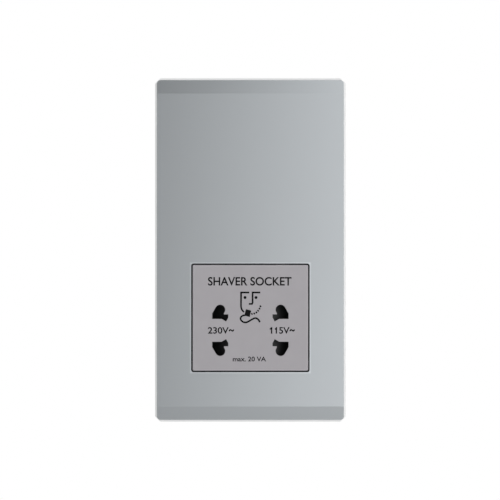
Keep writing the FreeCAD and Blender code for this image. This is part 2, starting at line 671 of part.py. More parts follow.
def leads():
    """Insulated leads from the terminals to the switch, the windings and the pin contacts."""
    routes = {
        "lead_line": [
            ("-terminal_pitch", tag_end, terminal_level),
            ("-terminal_pitch", loom_depth, terminal_level),
            ("-terminal_pitch", loom_depth, f"{crossing} + 2*lead_rise"),
            ("-4*lead_spread", lead_front, f"{crossing} + 2*lead_rise"),
            ("-4*lead_spread", lead_front, primary_middle),
            ("-cutout_width/2", lead_front, primary_middle),
        ],
        "lead_neutral": [
            ("terminal_pitch", tag_end, terminal_level),
            ("terminal_pitch", loom_depth, terminal_level),
            ("terminal_pitch", loom_depth, f"{root_level} + 2*lead_rise"),
            ("leaf_offset", loom_depth, f"{root_level} + 2*lead_rise"),
            ("leaf_offset", root_rear, f"{root_level} + 2*lead_rise"),
            ("leaf_offset", root_rear, root_level),
        ],
        "lead_earth": [
            ("0", tag_end, terminal_level),
            ("0", loom_depth, terminal_level),
            ("0", loom_depth, core_low),
        ],
        "lead_switch": [
            ("anvil_offset", root_rear, root_level),
            ("anvil_offset", root_rear, f"{crossing} + 3*lead_rise"),
            ("4*lead_spread", lead_front, f"{crossing} + 3*lead_rise"),
            ("4*lead_spread", lead_front, primary_middle),
            ("4*lead_spread", winding_front, primary_middle),
        ],
    }
    for label, offset, rise in (("lead_leaves", "leaf_offset", 1), ("lead_anvils", "anvil_offset", 2)):
        routes[label] = [
            (f"-{offset}", root_front, root_level),
            (f"-{offset}", root_front, f"{root_level} + {rise}*lead_rise"),
            (offset, root_front, f"{root_level} + {rise}*lead_rise"),
            (offset, root_front, root_level),
        ]
    for voltage, side in (("230", -1), ("115", 1)):
        tail = (f"{side}*{pin_line}", tail_end)
        column = (f"{side}*{pin_line}", f"{tail_end} + lead_stand")
        outside = (f"{side}*({pin_line} + lead_spread)", f"{tail_end} + lead_stand")
        high, low = f"{outlet_level} + {tail_level}", f"{outlet_level} - {tail_level}"
        for row, begin, level, place in (
            ("upper", [(*tail, high), (*column, high), (*column, crossing)], crossing, 3),
            ("lower", [(*tail, low), (*column, low), (*outside, low),
                       (*outside, f"{crossing} + lead_rise")], f"{crossing} + lead_rise", 2),
        ):
            across = f"{side}*{place}*lead_spread"
            routes[f"lead_{voltage}_{row}"] = begin + [
                (across, lead_front, level),
                (across, lead_front, secondary_middle),
                (across, winding_front, secondary_middle),
            ]
    for label, route in routes.items():
        points = [Vector(*(value(text) for text in point)) for point in route]
        subparts.append(swept(label, points, lead_sides, "lead_radius"))


def contact_carrier():
    """Block behind the slide: four contact pockets, rails, spring posts and a flange."""
    body = new_body("contact_carrier", outlet_level)
    block = new_sketch(body, "CarrierBlock", offset=deck)
    rectangle(block, f"-{carrier_half_width}", carrier_half_width, f"-{carrier_half_height}",
              carrier_half_height)
    pad(block, f"{deck} + carrier_rear", to_rear=True)
    flange = new_sketch(body, "CarrierFlange", offset="strap_gauge")
    flange_half = f"({inner_half_width} - flange_room)"
    rectangle(flange, f"-{flange_half}", flange_half, "-flange_low", "flange_top")
    pad(flange, "strap_gauge", to_rear=True)
    pockets = new_sketch(body, "CarrierPockets", offset=deck)
    tails = new_sketch(body, "CarrierTailSlots", offset=f"-{pocket_floor}")
    for side in (-1, 1):
        for above in (-1, 1):
            inner = f"{side}*({pin_line} - arm_reach - pocket_room)"
            outer = f"{side}*({pin_line} + slot_reach + pocket_room)"
            rectangle(pockets, inner, outer, f"{above}*{pocket_low}", f"{above}*{pocket_high}")
            rectangle(tails, f"{side}*{pin_line} - tail_width/2 - fit_gap",
                      f"{side}*{pin_line} + tail_width/2 + fit_gap",
                      f"{above}*{pocket_low}",
                      f"{above}*({pocket_low} + contact_gauge + 2*fit_gap)")
    pocket(pockets, f"{deck} + {pocket_floor}")
    pocket(tails, "carrier_floor")

    rails = new_sketch(body, "CarrierRails", offset=deck)
    for above in (-1, 1):
        rectangle(rails, f"-{carrier_half_width}", carrier_half_width,
                  f"{above}*({slide_half_height} + running_gap)",
                  f"{above}*{carrier_half_height}")
    pad(rails, "rail_height")
    posts = new_sketch(body, "CarrierPosts", offset=deck)
    for side in (-1, 1):
        rectangle(posts, f"{side}*(spring_seat + spring_length)",
                  f"{side}*(spring_seat + spring_length + post_width)",
                  "-post_height/2", "post_height/2")
    pad(posts, f"{post_front} - {deck}")
    slot = new_sketch(body, "CarrierFingerSlot", offset=deck)
    slot_half = f"({slide_travel} + finger_width/2 + running_gap)"
    rectangle(slot, f"-{slot_half}", slot_half, "-finger_drop - finger_height/2 - running_gap",
              "-finger_drop + finger_height/2 + running_gap")
    pocket(slot, f"{deck} + carrier_rear")
    roots = new_sketch(body, "CarrierRootSlots", offset="-carrier_rear")
    for side in (-1, 1):
        for offset, gauge in (("leaf_offset", "leaf_gauge"), ("anvil_offset", "anvil_gauge")):
            rectangle(roots, f"{side}*{offset} - {gauge}/2 - fit_gap/2",
                      f"{side}*{offset} + {gauge}/2 + fit_gap/2",
                      "root_top - root_height - fit_gap/2", "root_top + fit_gap/2")
    pocket(roots, "root_depth + fit_gap", to_front=True)


def pin_contact(label, side, above):
    """Bent strip in a carrier pocket: a straight leg, a base and a sprung leg."""
    body = new_body(label, outlet_level)
    section = new_sketch(body, f"{label}_section", "YZ_Plane", f"{side}*{pin_line}")
    seat = f"({pocket_low} + fit_gap)"
    back = f"({pocket_floor} - fit_gap)"
    root = f"({pocket_high} - fit_gap)"
    grip = f"({seat} + contact_gauge + contact_slack)"
    strip = [
        ("-contact_mouth", seat),
        (back, seat),
        (back, root),
        (f"{back} - contact_elbow", root),
        ("contact_grip", f"{grip} + slant_gauge"),
        ("-contact_mouth", root),
        ("-contact_mouth", f"{root} - slant_gauge"),
        ("contact_grip", grip),
        (f"{back} - contact_elbow", f"{root} - slant_gauge"),
        (f"{back} - contact_gauge", f"{root} - slant_gauge"),
        (f"{back} - contact_gauge", f"{seat} + contact_gauge"),
        ("-contact_mouth", f"{seat} + contact_gauge"),
    ]
    polygon(section, [(along, f"{above}*({up})") for along, up in strip])
    pad(section, "contact_width", both_ways=True)
    tail = new_sketch(body, f"{label}_tail", offset=f"-{back}")
    rectangle(tail, f"{side}*{pin_line} - tail_width/2", f"{side}*{pin_line} + tail_width/2",
              f"{above}*{seat}", f"{above}*({seat} + contact_gauge)")
    pad(tail, "tail_reach + fit_gap", to_rear=True)


def switch_strip(label, side, offset, gauge, low, stud_side):
    """Strip of the leaf switch, its root in the carrier, with a contact stud."""
    body = new_body(label, outlet_level)
    section = new_sketch(body, f"{label}_section", "YZ_Plane", f"{side}*{offset}")
    polygon(section, [
        ("carrier_rear - root_depth", "root_top - root_height"),
        (leaf_front, "root_top - root_height"),
        (leaf_front, f"-{low}"),
        (f"{leaf_front} + leaf_width", f"-{low}"),
        (f"{leaf_front} + leaf_width", "root_top"),
        ("carrier_rear - root_depth", "root_top"),
    ])
    pad(section, gauge, both_ways=True)
    stud = new_sketch(body, f"{label}_stud", "YZ_Plane", f"{side}*{offset}")
    middle = f"({leaf_front} + leaf_width/2)"
    octagon_cut = "(2 - sqrt(2))*stud_radius"
    chamfered(stud, f"{middle} - stud_radius", f"{middle} + stud_radius",
              "-stud_drop - stud_radius", "stud_radius - stud_drop", octagon_cut)
    pad(stud, f"{gauge}/2 + stud_rise", to_rear=side * stud_side < 0)


def mounting_plate():
    """Steel plate on the wall: wall fixings, a window for the housing, latch slots."""
    body = new_body("mounting_plate")
    blank = new_sketch(body, "PlateBlank")
    half_width = f"({frame_half_width} - frame_wall - strap_margin)"
    half_height = f"({frame_half_height} - frame_wall - strap_margin)"
    rounded(blank, f"-{half_width}", half_width, f"-{half_height}", half_height, "strap_corner")
    pad(blank, "strap_gauge")
    window = new_sketch(body, "PlateWindow", offset="strap_gauge")
    rectangle(window, f"-{inner_half_width} - fit_gap", f"{inner_half_width} + fit_gap",
              f"{inner_low} - fit_gap", f"{inner_top} + fit_gap")
    pocket(window, "strap_gauge")
    cuts = new_sketch(body, "PlateCuts", offset="strap_gauge")
    for side in (-1, 1):
        rectangle(cuts, f"{side}*clip_spread/2 - clip_width/2 - clip_room",
                  f"{side}*clip_spread/2 + clip_width/2 + clip_room",
                  f"-window_drop - {insert_half_height} - clip_catch - running_gap",
                  inner_low)
        for above in (-1, 1):
            ends = [f"{side}*({latch_across} + {half}*(latch_gauge/2 + fit_gap))"
                    for half in (-side, side)]
            rectangle(cuts, *ends, f"{above}*latch_rise - latch_width/2 - fit_gap",
                      f"{above}*latch_rise + latch_width/2 + fit_gap")
    for above in (-1, 1):
        disc(cuts, "0", f"{above}*fixing_pitch/2", "fixing_radius")
    pocket(cuts, "strap_gauge")


def housing_cover():
    """Moulded cover in front of the mounting plate, with posts that hold the core."""
    body = new_body("housing_cover")
    blank = new_sketch(body, "CoverBlank", offset="strap_gauge")
    half_width = f"({housing_half_width} + cover_lap)"
    rectangle(blank, f"-{half_width}", half_width,
              f"min(-window_drop - {insert_half_height} - cover_lip; {housing_low} - cover_lap)",
              f"{housing_top} + cover_lap")
    pad(blank, "cover_gauge")
    posts = new_sketch(body, "CoverPosts", offset="strap_gauge")
    core_corners(posts)
    pad(posts, f"strap_gauge + {core_front}", to_rear=True)
    cuts = new_sketch(body, "CoverCuts", offset=cover_front)
    rectangle(cuts, f"-{carrier_half_width} - fit_gap", f"{carrier_half_width} + fit_gap",
              f"{outlet_level} - {carrier_half_height} - fit_gap",
              f"{outlet_level} + {carrier_half_height} + fit_gap")
    for side in (-1, 1):
        left = f"{side}*clip_spread/2 - clip_width/2 - fit_gap"
        right = f"{side}*clip_spread/2 + clip_width/2 + fit_gap"
        flex = "(clip_gauge + clip_catch)"
        rectangle(cuts, left, right, f"-window_drop + {insert_half_height} - {flex}",
                  f"-window_drop + {insert_half_height} + fit_gap/2")
        rectangle(cuts, left, right, f"-window_drop - {insert_half_height} - fit_gap/2",
                  f"-window_drop - {insert_half_height} + {flex}")
    screw_places(cuts, "pilot_radius + hole_room")
    pocket(cuts, "cover_gauge")
    seats = new_sketch(body, "CoverScrewSeats", offset=cover_front)
    seat = "(head_radius + hole_room)"
    for side in (-1, 1):
        for level in boss_levels.values():
            rectangle(seats, f"{side}*{boss_across} - {seat}", f"{side}*{boss_across} + {seat}",
                      f"{level} - {seat}", f"{level} + {seat}")
    pocket(seats, "head_height")


def core_corners(sketch):
    for side in (-1, 1):
        for above in (-1, 1):
            rectangle(sketch, f"{side}*{core_post_across} - core_post_width/2",
                      f"{side}*{core_post_across} + core_post_width/2",
                      f"core_height + {above}*{core_post_up} - core_post_width/2",
                      f"core_height + {above}*{core_post_up} + core_post_width/2")


def screw_places(sketch, radius, rows=(-1, 1)):
    for side in (-1, 1):
        for above in rows:
            disc(sketch, f"{side}*{boss_across}", boss_levels[above], radius)


def rear_housing():
    """Moulded box for the wall box, stepped at the bottom for the terminal bays."""
    body = new_body("rear_housing")
    block = new_sketch(body, "HousingBlock")
    rounded(block, f"-{housing_half_width}", housing_half_width, housing_low, housing_top,
            "housing_corner")
    shell = pad(block, housing_depth, to_rear=True)
    shell.setExpression("TaperAngle", tied("-housing_draft"))
    doc.recompute()
    step = new_sketch(body, "HousingStep", offset=f"-{housing_depth}")
    rectangle(step, f"-2*{housing_half_width}", f"2*{housing_half_width}", f"2*{housing_low}",
              "-step_drop")
    pocket(step, f"{housing_depth} - step_depth", to_front=True)
    rear = value(housing_depth)
    soften(body, "Chamfer", "housing_edge", lambda edge: near(edge.BoundBox.YMin, rear))

    lower = new_sketch(body, "HousingLowerRoom")
    rectangle(lower, f"-{inner_half_width}", inner_half_width, inner_low, inner_top)
    pocket(lower, step_floor)
    upper = new_sketch(body, "HousingUpperRoom")
    rectangle(upper, f"-{inner_half_width}", inner_half_width, "housing_wall - step_drop",
              inner_top)
    pocket(upper, inner_floor)
    for row, depth, name in ((-1, step_floor, "Lower"), (1, inner_floor, "Upper")):
        bosses = new_sketch(body, f"Housing{name}Bosses")
        screw_places(bosses, "boss_radius", (row,))
        pad(bosses, depth, to_rear=True)
    pilots = new_sketch(body, "HousingPilots")
    screw_places(pilots, "pilot_radius")
    pocket(pilots, "pilot_depth")
    ledges = new_sketch(body, "HousingLedges")
    for side in (-1, 1):
        rectangle(ledges, f"{side}*({inner_half_width} - ledge_width)",
                  f"{side}*({inner_half_width} + housing_wall/2)",
                  f"{outlet_level} - flange_low", f"{outlet_level} + flange_top")
    pad(ledges, "ledge_depth", to_rear=True)
    posts = new_sketch(body, "HousingCorePosts", offset=f"-{inner_floor}")
    core_corners(posts)
    pad(posts, f"{inner_floor} - {core_back}")

    panel = new_sketch(body, "HousingPanel", offset=f"-{housing_depth}")
    rectangle(panel, "-panel_width/2", "panel_width/2", "core_height - rib_pitch/2 - panel_height/2",
              "core_height - rib_pitch/2 + panel_height/2")
    pocket(panel, "panel_depth", to_front=True)

    bays = new_sketch(body, "HousingBarriers", offset="-step_depth")
    for n in (-1.5, -0.5, 0.5, 1.5):
        rectangle(bays, f"{n}*terminal_pitch - barrier_gauge/2",
                  f"{n}*terminal_pitch + barrier_gauge/2",
                  f"{housing_low} + housing_edge", "-step_drop")
    pad(bays, "barrier_depth", to_rear=True)
    ribs = new_sketch(body, "HousingRibs", offset="-rib_start")
    for side in (-1, 1):
        for n in (-1, 0, 1):
            rectangle(ribs, f"{side}*({housing_half_width} - housing_wall/2)",
                      f"{side}*({housing_half_width} + rib_proud)",
                      f"core_height + {n}*rib_pitch - rib_width/2",
                      f"core_height + {n}*rib_pitch + rib_width/2")
    pad(ribs, f"{housing_depth} - housing_edge - 2*rib_start", to_rear=True)
    tags = new_sketch(body, "HousingTagSlots", offset="-step_depth")
    for n in (-1, 0, 1):
        rectangle(tags, f"{n}*terminal_pitch - tag_gauge/2 - fit_gap",
                  f"{n}*terminal_pitch + tag_gauge/2 + fit_gap",
                  f"{terminal_level} - tag_height/2 - fit_gap",
                  f"{terminal_level} + tag_height/2 + fit_gap")
    pocket(tags, "housing_wall", to_front=True)


def core_stacks():
    """Laminations: an E closed by an I, both as thick as the stack."""
    unit = "core_half_width"
    low = core_low
    e_stack = new_body("core_e_stack")
    e_outline = new_sketch(e_stack, "CoreEOutline", offset=f"-{core_front}")
    tips = f"{low} + {unit}"
    throat = f"{low} + 4*{unit}"
    high = f"{low} + 5*{unit}"
    polygon(e_outline, [
        (f"-3*{unit}", tips), (f"-2*{unit}", tips), (f"-2*{unit}", throat), (f"-{unit}", throat),
        (f"-{unit}", tips), (unit, tips), (unit, throat), (f"2*{unit}", throat),
        (f"2*{unit}", tips), (f"3*{unit}", tips), (f"3*{unit}", high), (f"-3*{unit}", high),
    ])
    pad(e_outline, "core_stack", to_rear=True)
    i_stack = new_body("core_i_stack")
    i_outline = new_sketch(i_stack, "CoreIOutline", offset=f"-{core_front}")
    rectangle(i_outline, f"-3*{unit}", f"3*{unit}", low, tips)
    pad(i_outline, "core_stack", to_rear=True)


def ring(sketch, inner_across, inner_deep, outer_across, outer_deep, corner=None):
    """Two rectangles round the core's centre leg, seen along it."""
    middle = core_depth
    if corner:
        chamfered(sketch, f"-{outer_across}", outer_across, f"{middle} - {outer_deep}",
                  f"{middle} + {outer_deep}", corner)
    else:
        rectangle(sketch, f"-{outer_across}", outer_across, f"{middle} - {outer_deep}",
                  f"{middle} + {outer_deep}")
    rectangle(sketch, f"-{inner_across}", inner_across, f"{middle} - {inner_deep}",
              f"{middle} + {inner_deep}")


def bobbin_and_windings():
    """Split bobbin on the centre leg, with the primary above and the secondary below."""
    hole_across = "(core_half_width + core_room)"
    hole_deep = "(core_stack/2 + core_room)"
    body = new_body("bobbin")
    tube = new_sketch(body, "BobbinTube", "XY_Plane", bobbin_low)
    ring(tube, hole_across, hole_deep, tube_across, tube_deep)
    pad(tube, bobbin_length)
    for n in range(3):
        flange = new_sketch(body, f"BobbinFlange{n}", "XY_Plane",
                            f"{bobbin_low} + {n}*({chamber} + bobbin_flange)")
        ring(flange, tube_across, tube_deep, flange_across, flange_deep)
        pad(flange, "bobbin_flange")
    outer_across = f"({flange_across} - winding_margin)"
    outer_deep = f"({flange_deep} - winding_margin)"
    for n, label in enumerate(("secondary_winding", "primary_winding")):
        winding = new_body(label)
        turns = new_sketch(winding, f"{label}_turns", "XY_Plane",
                           f"{bobbin_low} + bobbin_flange + {n}*({chamber} + bobbin_flange)")
        ring(turns, tube_across, tube_deep, outer_across, outer_deep, "winding_corner")
        pad(turns, chamber)
    cutout = new_body("thermal_cutout")
    case = new_sketch(cutout, "CutoutCase", offset=f"{outer_deep} - {core_depth}")
    rectangle(case, "-cutout_width/2", "cutout_width/2", f"{primary_middle} - cutout_height/2",
              f"{primary_middle} + cutout_height/2")
    pad(case, "cutout_gauge")


def terminal(label, place):
    """Brass pillar with a wire bore from below, a screw hole and a tag."""
    body = new_body(label)
    middle = f"{place}*terminal_pitch"
    pillar = new_sketch(body, f"{label}_pillar", offset="-step_depth")
    rectangle(pillar, f"{middle} - terminal_width/2", f"{middle} + terminal_width/2",
              f"{terminal_level} - terminal_height/2", f"{terminal_level} + terminal_height/2")
    pad(pillar, "terminal_depth", to_rear=True)
    tag = new_sketch(body, f"{label}_tag", offset="-step_depth")
    rectangle(tag, f"{middle} - tag_gauge/2", f"{middle} + tag_gauge/2",
              f"{terminal_level} - tag_height/2", f"{terminal_level} + tag_height/2")
    pad(tag, "tag_reach")
    bore = new_sketch(body, f"{label}_bore", "XY_Plane", f"{terminal_level} + terminal_height/2")
    disc(bore, middle, "step_depth + bore_depth", "bore_radius")
    pocket(bore, "terminal_height")
    hole = new_sketch(body, f"{label}_screw_hole", offset="-step_depth - terminal_depth")
    disc(hole, middle, terminal_level, "clamp_radius + hole_room/2")
    pocket(hole, "terminal_depth - bore_depth", to_front=True)


def cylinder(name, across, seat, up, radius, height, towards):
    """A cylinder from its seat along +Y (towards 1) or -Y (towards -1)."""
    piece = doc.addObject("Part::Cylinder", name)
    piece.setExpression("Radius", tied(radius))
    piece.setExpression("Height", tied(height))
    piece.Placement.Rotation = FreeCAD.Rotation(Vector(1, 0, 0), -90 * towards)
    piece.setExpression("Placement.Base.x", tied(across))
    piece.setExpression("Placement.Base.y", tied(seat))
    piece.setExpression("Placement.Base.z", tied(up))
    return piece


def group(label, pieces):
    """Like fasteners as one sub-part."""
    compound = doc.addObject("Part::Compound", label)
    compound.Label = label
    compound.Links = pieces
    subparts.append(compound)


def screws():
    """Headed screws for the housing, headless ones for the terminals."""
    seat = f"head_height - {cover_front}"
    headed = []
    for n, (side, above) in enumerate([(-1, -1), (1, -1), (-1, 1), (1, 1)]):
        place = (f"{side}*{boss_across}", seat, boss_levels[above])
        screw = doc.addObject("Part::Fuse", f"HousingScrew{n}")
        screw.Base = cylinder(f"ScrewShank{n}", *place, "pilot_radius", "screw_length", 1)
        screw.Tool = cylinder(f"ScrewHead{n}", *place, "head_radius", "head_height", -1)
        headed.append(screw)
    group("housing_screws", headed)
    end = "step_depth + terminal_depth + clamp_proud"
    length = "terminal_depth + clamp_proud - bore_depth - bore_radius - fit_gap"
    group("terminal_screws", [
        cylinder(f"TerminalScrew{n + 2}", f"{n}*terminal_pitch", end, terminal_level,
                 "clamp_radius", length, -1)
        for n in (-1, 0, 1)
    ])


front_sheet()
front_frame()
socket_insert()
shutter_slide()
shutter_springs()
contact_carrier()
for voltage, outlet_side in (("230", -1), ("115", 1)):
    for row_name, row_side in (("upper", 1), ("lower", -1)):
        pin_contact(f"contact_{voltage}_{row_name}", outlet_side, row_side)
for side_name, switch_side in (("left", -1), ("right", 1)):
    switch_strip(f"switch_leaf_{side_name}", switch_side, "leaf_offset", "leaf_gauge",
                 "leaf_low", 1)
    switch_strip(f"switch_anvil_{side_name}", switch_side, "anvil_offset", "anvil_gauge",
                 "anvil_low", -1)
mounting_plate()
housing_cover()
rear_housing()
core_stacks()
bobbin_and_windings()
for terminal_name, terminal_place in (("line", -1), ("earth", 0), ("neutral", 1)):
    terminal(f"terminal_{terminal_name}", terminal_place)
screws()
leads()
doc.recompute()

for item in doc.Objects:
    if "Invalid" in item.State or "Error" in item.State:
        raise ValueError(f"{item.Label} failed: {item.State}")
for subpart in subparts:
    if subpart.Shape.isNull() or not subpart.Shape.isValid():
        raise ValueError(f"{subpart.Label} has no valid shape")

os.makedirs("parts", exist_ok=True)
for subpart in subparts:
    subpart.Shape.exportStep(f"parts/{subpart.Label}.step")
    print(subpart.Label, len(subpart.Shape.Solids), round(subpart.Shape.Volume, 1))
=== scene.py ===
import json
import math

import bmesh
import bpy
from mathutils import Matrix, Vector


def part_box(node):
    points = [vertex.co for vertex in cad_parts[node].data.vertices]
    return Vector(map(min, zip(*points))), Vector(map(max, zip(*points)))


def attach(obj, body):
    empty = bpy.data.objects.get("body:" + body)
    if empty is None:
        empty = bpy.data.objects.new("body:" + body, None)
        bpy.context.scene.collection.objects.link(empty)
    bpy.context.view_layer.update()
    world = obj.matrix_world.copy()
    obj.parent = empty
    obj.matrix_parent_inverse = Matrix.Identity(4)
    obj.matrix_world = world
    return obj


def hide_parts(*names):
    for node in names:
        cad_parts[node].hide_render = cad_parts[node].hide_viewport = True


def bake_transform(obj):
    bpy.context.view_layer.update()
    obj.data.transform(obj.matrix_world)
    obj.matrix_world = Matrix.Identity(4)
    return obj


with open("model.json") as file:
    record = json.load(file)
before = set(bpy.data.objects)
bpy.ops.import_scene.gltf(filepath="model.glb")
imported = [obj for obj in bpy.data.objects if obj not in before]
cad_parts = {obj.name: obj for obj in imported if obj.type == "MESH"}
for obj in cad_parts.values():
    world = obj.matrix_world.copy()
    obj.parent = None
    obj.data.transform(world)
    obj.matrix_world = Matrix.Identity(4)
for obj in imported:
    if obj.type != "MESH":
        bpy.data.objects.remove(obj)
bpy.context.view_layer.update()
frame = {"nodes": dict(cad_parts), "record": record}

mm = 0.001
nodes = frame["nodes"]
collection = bpy.context.scene.collection
print("frame loaded,", len(nodes), "nodes")


def linearColour(hexCode):
    channels = [int(hexCode[i:i + 2], 16) / 255 for i in (1, 3, 5)]
    linear = [c / 12.92 if c <= 0.04045 else ((c + 0.055) / 1.055) ** 2.4 for c in channels]
    return (*linear, 1.0)


def addNode(tree, kind, settings=None, inputs=None, outputs=None):
    node = tree.nodes.new(kind)
    for name, setting in (settings or {}).items():
        setattr(node, name, setting)
    for socket, source in (inputs or {}).items():
        if isinstance(source, bpy.types.NodeSocket):
            tree.links.new(source, node.inputs[socket])
        else:
            node.inputs[socket].default_value = source
    for socket, target in (outputs or {}).items():
        tree.links.new(node.outputs[socket], target)
    return node


def newMaterial(look):
    material = bpy.data.materials.new(look["name"])
    material.use_nodes = True
    tree = material.node_tree
    shader = tree.nodes["Principled BSDF"]
    shader.inputs["Base Color"].default_value = linearColour(look["colour"])
    shader.inputs["Metallic"].default_value = look.get("metallic", 0.0)
    shader.inputs["Roughness"].default_value = look["roughness"]
    if "ior" in look:
        shader.inputs["IOR"].default_value = look["ior"]
    where = addNode(tree, "ShaderNodeTexCoord").outputs["Object"]
    return material, tree, shader, where


def perMetre(sizeMm):
    return 1 / (sizeMm * mm)  # a pattern's scale, from the size of one of its cells


noiseSpan = {"From Min": 0.3, "From Max": 0.7}  # nearly all values of a noise texture
multiply = {"data_type": "RGBA", "blend_type": "MULTIPLY"}
colourIn, gainIn, colourOut = 6, 7, 2  # the Mix node's colour sockets, as their names repeat
windowMiddleMm = (0.0, -31.2)  # across and up, for the sheet's window and the insert in it

# Front sheet: aluminium, bead blasted and anodised. Even satin sheen with no grain direction,
# and a painted highlight: the colour is brightened in a line along the window's outline.
# The grit's pits are about 0.05 mm, drawn five times coarser so that they show.
blastedAluminium = {
    "name": "aluminium_blasted_anodised", "colour": "#A7ABAE", "metallic": 1.0, "roughness": 0.4,
    "pitMm": 0.25, "pitDepthMm": 0.001, "cloudMm": 30.0, "roughnessSpread": 0.01,
    # painted highlight: the colour brightened within reachMm of the window's outline
    "edge": {"halfMm": (27.25, 25.0), "reachMm": 0.9, "gain": 1.3},
}


def paintedEdgeHighlight(tree, where, edge):  # painted highlight: 1 away from the window's outline, more at it
    split = addNode(tree, "ShaderNodeSeparateXYZ", None, {0: where})
    past = []
    for axis, middle, half in zip("XZ", windowMiddleMm, edge["halfMm"]):
        off = addNode(tree, "ShaderNodeMath", {"operation": "SUBTRACT"}, {
            0: split.outputs[axis], 1: middle * mm})
        away = addNode(tree, "ShaderNodeMath", {"operation": "ABSOLUTE"}, {0: off.outputs[0]})
        past.append(addNode(tree, "ShaderNodeMath", {"operation": "SUBTRACT"}, {
            0: away.outputs[0], 1: half * mm}).outputs[0])
    most = addNode(tree, "ShaderNodeMath", {"operation": "MAXIMUM"}, {0: past[0], 1: past[1]})
    gap = addNode(tree, "ShaderNodeMath", {"operation": "ABSOLUTE"}, {0: most.outputs[0]})
    return addNode(tree, "ShaderNodeMapRange", {"interpolation_type": "SMOOTHSTEP"}, {
        "Value": gap.outputs[0], "From Min": 0.0, "From Max": edge["reachMm"] * mm,
        "To Min": edge["gain"], "To Max": 1.0}).outputs["Result"]


def makeBlastedAluminium(look):
    material, tree, shader, where = newMaterial(look)
    # the colour times the painted highlight along the window
    addNode(tree, "ShaderNodeMix", multiply, {
        "Factor": 1.0, colourIn: linearColour(look["colour"]),
        gainIn: paintedEdgeHighlight(tree, where, look["edge"])}, {colourOut: shader.inputs["Base Color"]})
    clouds = addNode(tree, "ShaderNodeTexNoise", None, {
        "Vector": where, "Scale": perMetre(look["cloudMm"]), "Detail": 3.0})
    addNode(tree, "ShaderNodeMapRange", None, {
        **noiseSpan, "Value": clouds.outputs["Fac"],
        "To Min": look["roughness"] - look["roughnessSpread"],
        "To Max": look["roughness"] + look["roughnessSpread"]},
        {"Result": shader.inputs["Roughness"]})
    pits = addNode(tree, "ShaderNodeTexNoise", None, {
        "Vector": where, "Scale": perMetre(look["pitMm"]), "Detail": 2.0})
    addNode(tree, "ShaderNodeBump", None, {
        "Height": pits.outputs["Fac"], "Strength": 1.0, "Distance": look["pitDepthMm"] * mm},
        {"Normal": shader.inputs["Normal"]})
    return material


# Moulded plastics: the tool's spark-eroded walls leave round pits and a dull, even sheen, and the
# flow of the melt leaves faint broad mottling. The pits are about 0.1 mm, drawn coarser to show.
paleAbs = {  # clean near-white with a soft sheen
    "name": "abs_moulded_pale", "colour": "#F1F2F2", "roughness": 0.42, "ior": 1.53,
    "pitMm": 0.5, "pitDepthMm": 0.006, "mottle": 0.02, "mottleMm": 9.0,
}
greyPolycarbonate = {  # flat mid grey, with a painted highlight that makes its colour paler along its edge
    "name": "polycarbonate_moulded_grey", "colour": "#A09DA1", "roughness": 0.55, "ior": 1.58,
    "pitMm": 0.45, "pitDepthMm": 0.006, "mottle": 0.02, "mottleMm": 7.0,
    # painted highlight: the colour made paler within reachMm of the insert's outline
    "edge": {"halfMm": (26.55, 24.3), "reachMm": 1.0, "gain": 1.16},
}
blackNylon = {  # deep black, only the ramps facing the light turn grey
    "name": "nylon_moulded_black", "colour": "#0B0B0C", "roughness": 0.5, "ior": 1.53,
    "pitMm": 0.4, "pitDepthMm": 0.006, "mottle": 0.1, "mottleMm": 5.0,
}
darkPhenolic = {  # charcoal, with the coarser skin of a filled resin
    "name": "phenolic_moulded_dark", "colour": "#2B2C2E", "roughness": 0.46, "ior": 1.6,
    "pitMm": 0.9, "pitDepthMm": 0.02, "mottle": 0.12, "mottleMm": 6.0,
}
naturalNylon = {  # undyed cream, a little waxy
    "name": "nylon_moulded_natural", "colour": "#E2DAC4", "roughness": 0.38, "ior": 1.53,
    "pitMm": 0.6, "pitDepthMm": 0.006, "mottle": 0.05, "mottleMm": 6.0,
}
# Printing: a thin film of ink with small pinholes, also drawn coarser
screenInk = {  # dull black, pressed through a mesh
    "name": "ink_screened_black", "colour": "#0A0A0B", "roughness": 0.8, "ior": 1.22,
    "pitMm": 0.3, "pitDepthMm": 0.002, "mottle": 0.1, "mottleMm": 2.0,
}
padInk = {  # off-white, laid on by a soft pad and a little uneven
    "name": "ink_pad_printed_white", "colour": "#D9D9D4", "roughness": 0.6, "ior": 1.5,
    "pitMm": 0.3, "pitDepthMm": 0.002, "mottle": 0.06, "mottleMm": 1.5,
}


def makePlastic(look):
    material, tree, shader, where = newMaterial(look)
    flow = addNode(tree, "ShaderNodeTexNoise", None, {
        "Vector": where, "Scale": perMetre(look["mottleMm"]), "Detail": 4.0})
    shade = addNode(tree, "ShaderNodeMapRange", None, {
        **noiseSpan, "Value": flow.outputs["Fac"],
        "To Min": 1 - look["mottle"], "To Max": 1 + look["mottle"]}).outputs["Result"]
    # painted highlight: the colour made paler along the edge, for the looks that have one
    if "edge" in look:
        shade = addNode(tree, "ShaderNodeMath", {"operation": "MULTIPLY"}, {
            0: shade, 1: paintedEdgeHighlight(tree, where, look["edge"])}).outputs[0]
    addNode(tree, "ShaderNodeMix", multiply, {
        "Factor": 1.0, colourIn: linearColour(look["colour"]), gainIn: shade},
        {colourOut: shader.inputs["Base Color"]})
    pits = addNode(tree, "ShaderNodeTexVoronoi", None, {
        "Vector": where, "Scale": perMetre(look["pitMm"])})
    addNode(tree, "ShaderNodeBump", None, {
        "Height": pits.outputs["Distance"], "Strength": 1.0,
        "Distance": look["pitDepthMm"] * mm}, {"Normal": shader.inputs["Normal"]})
    return material


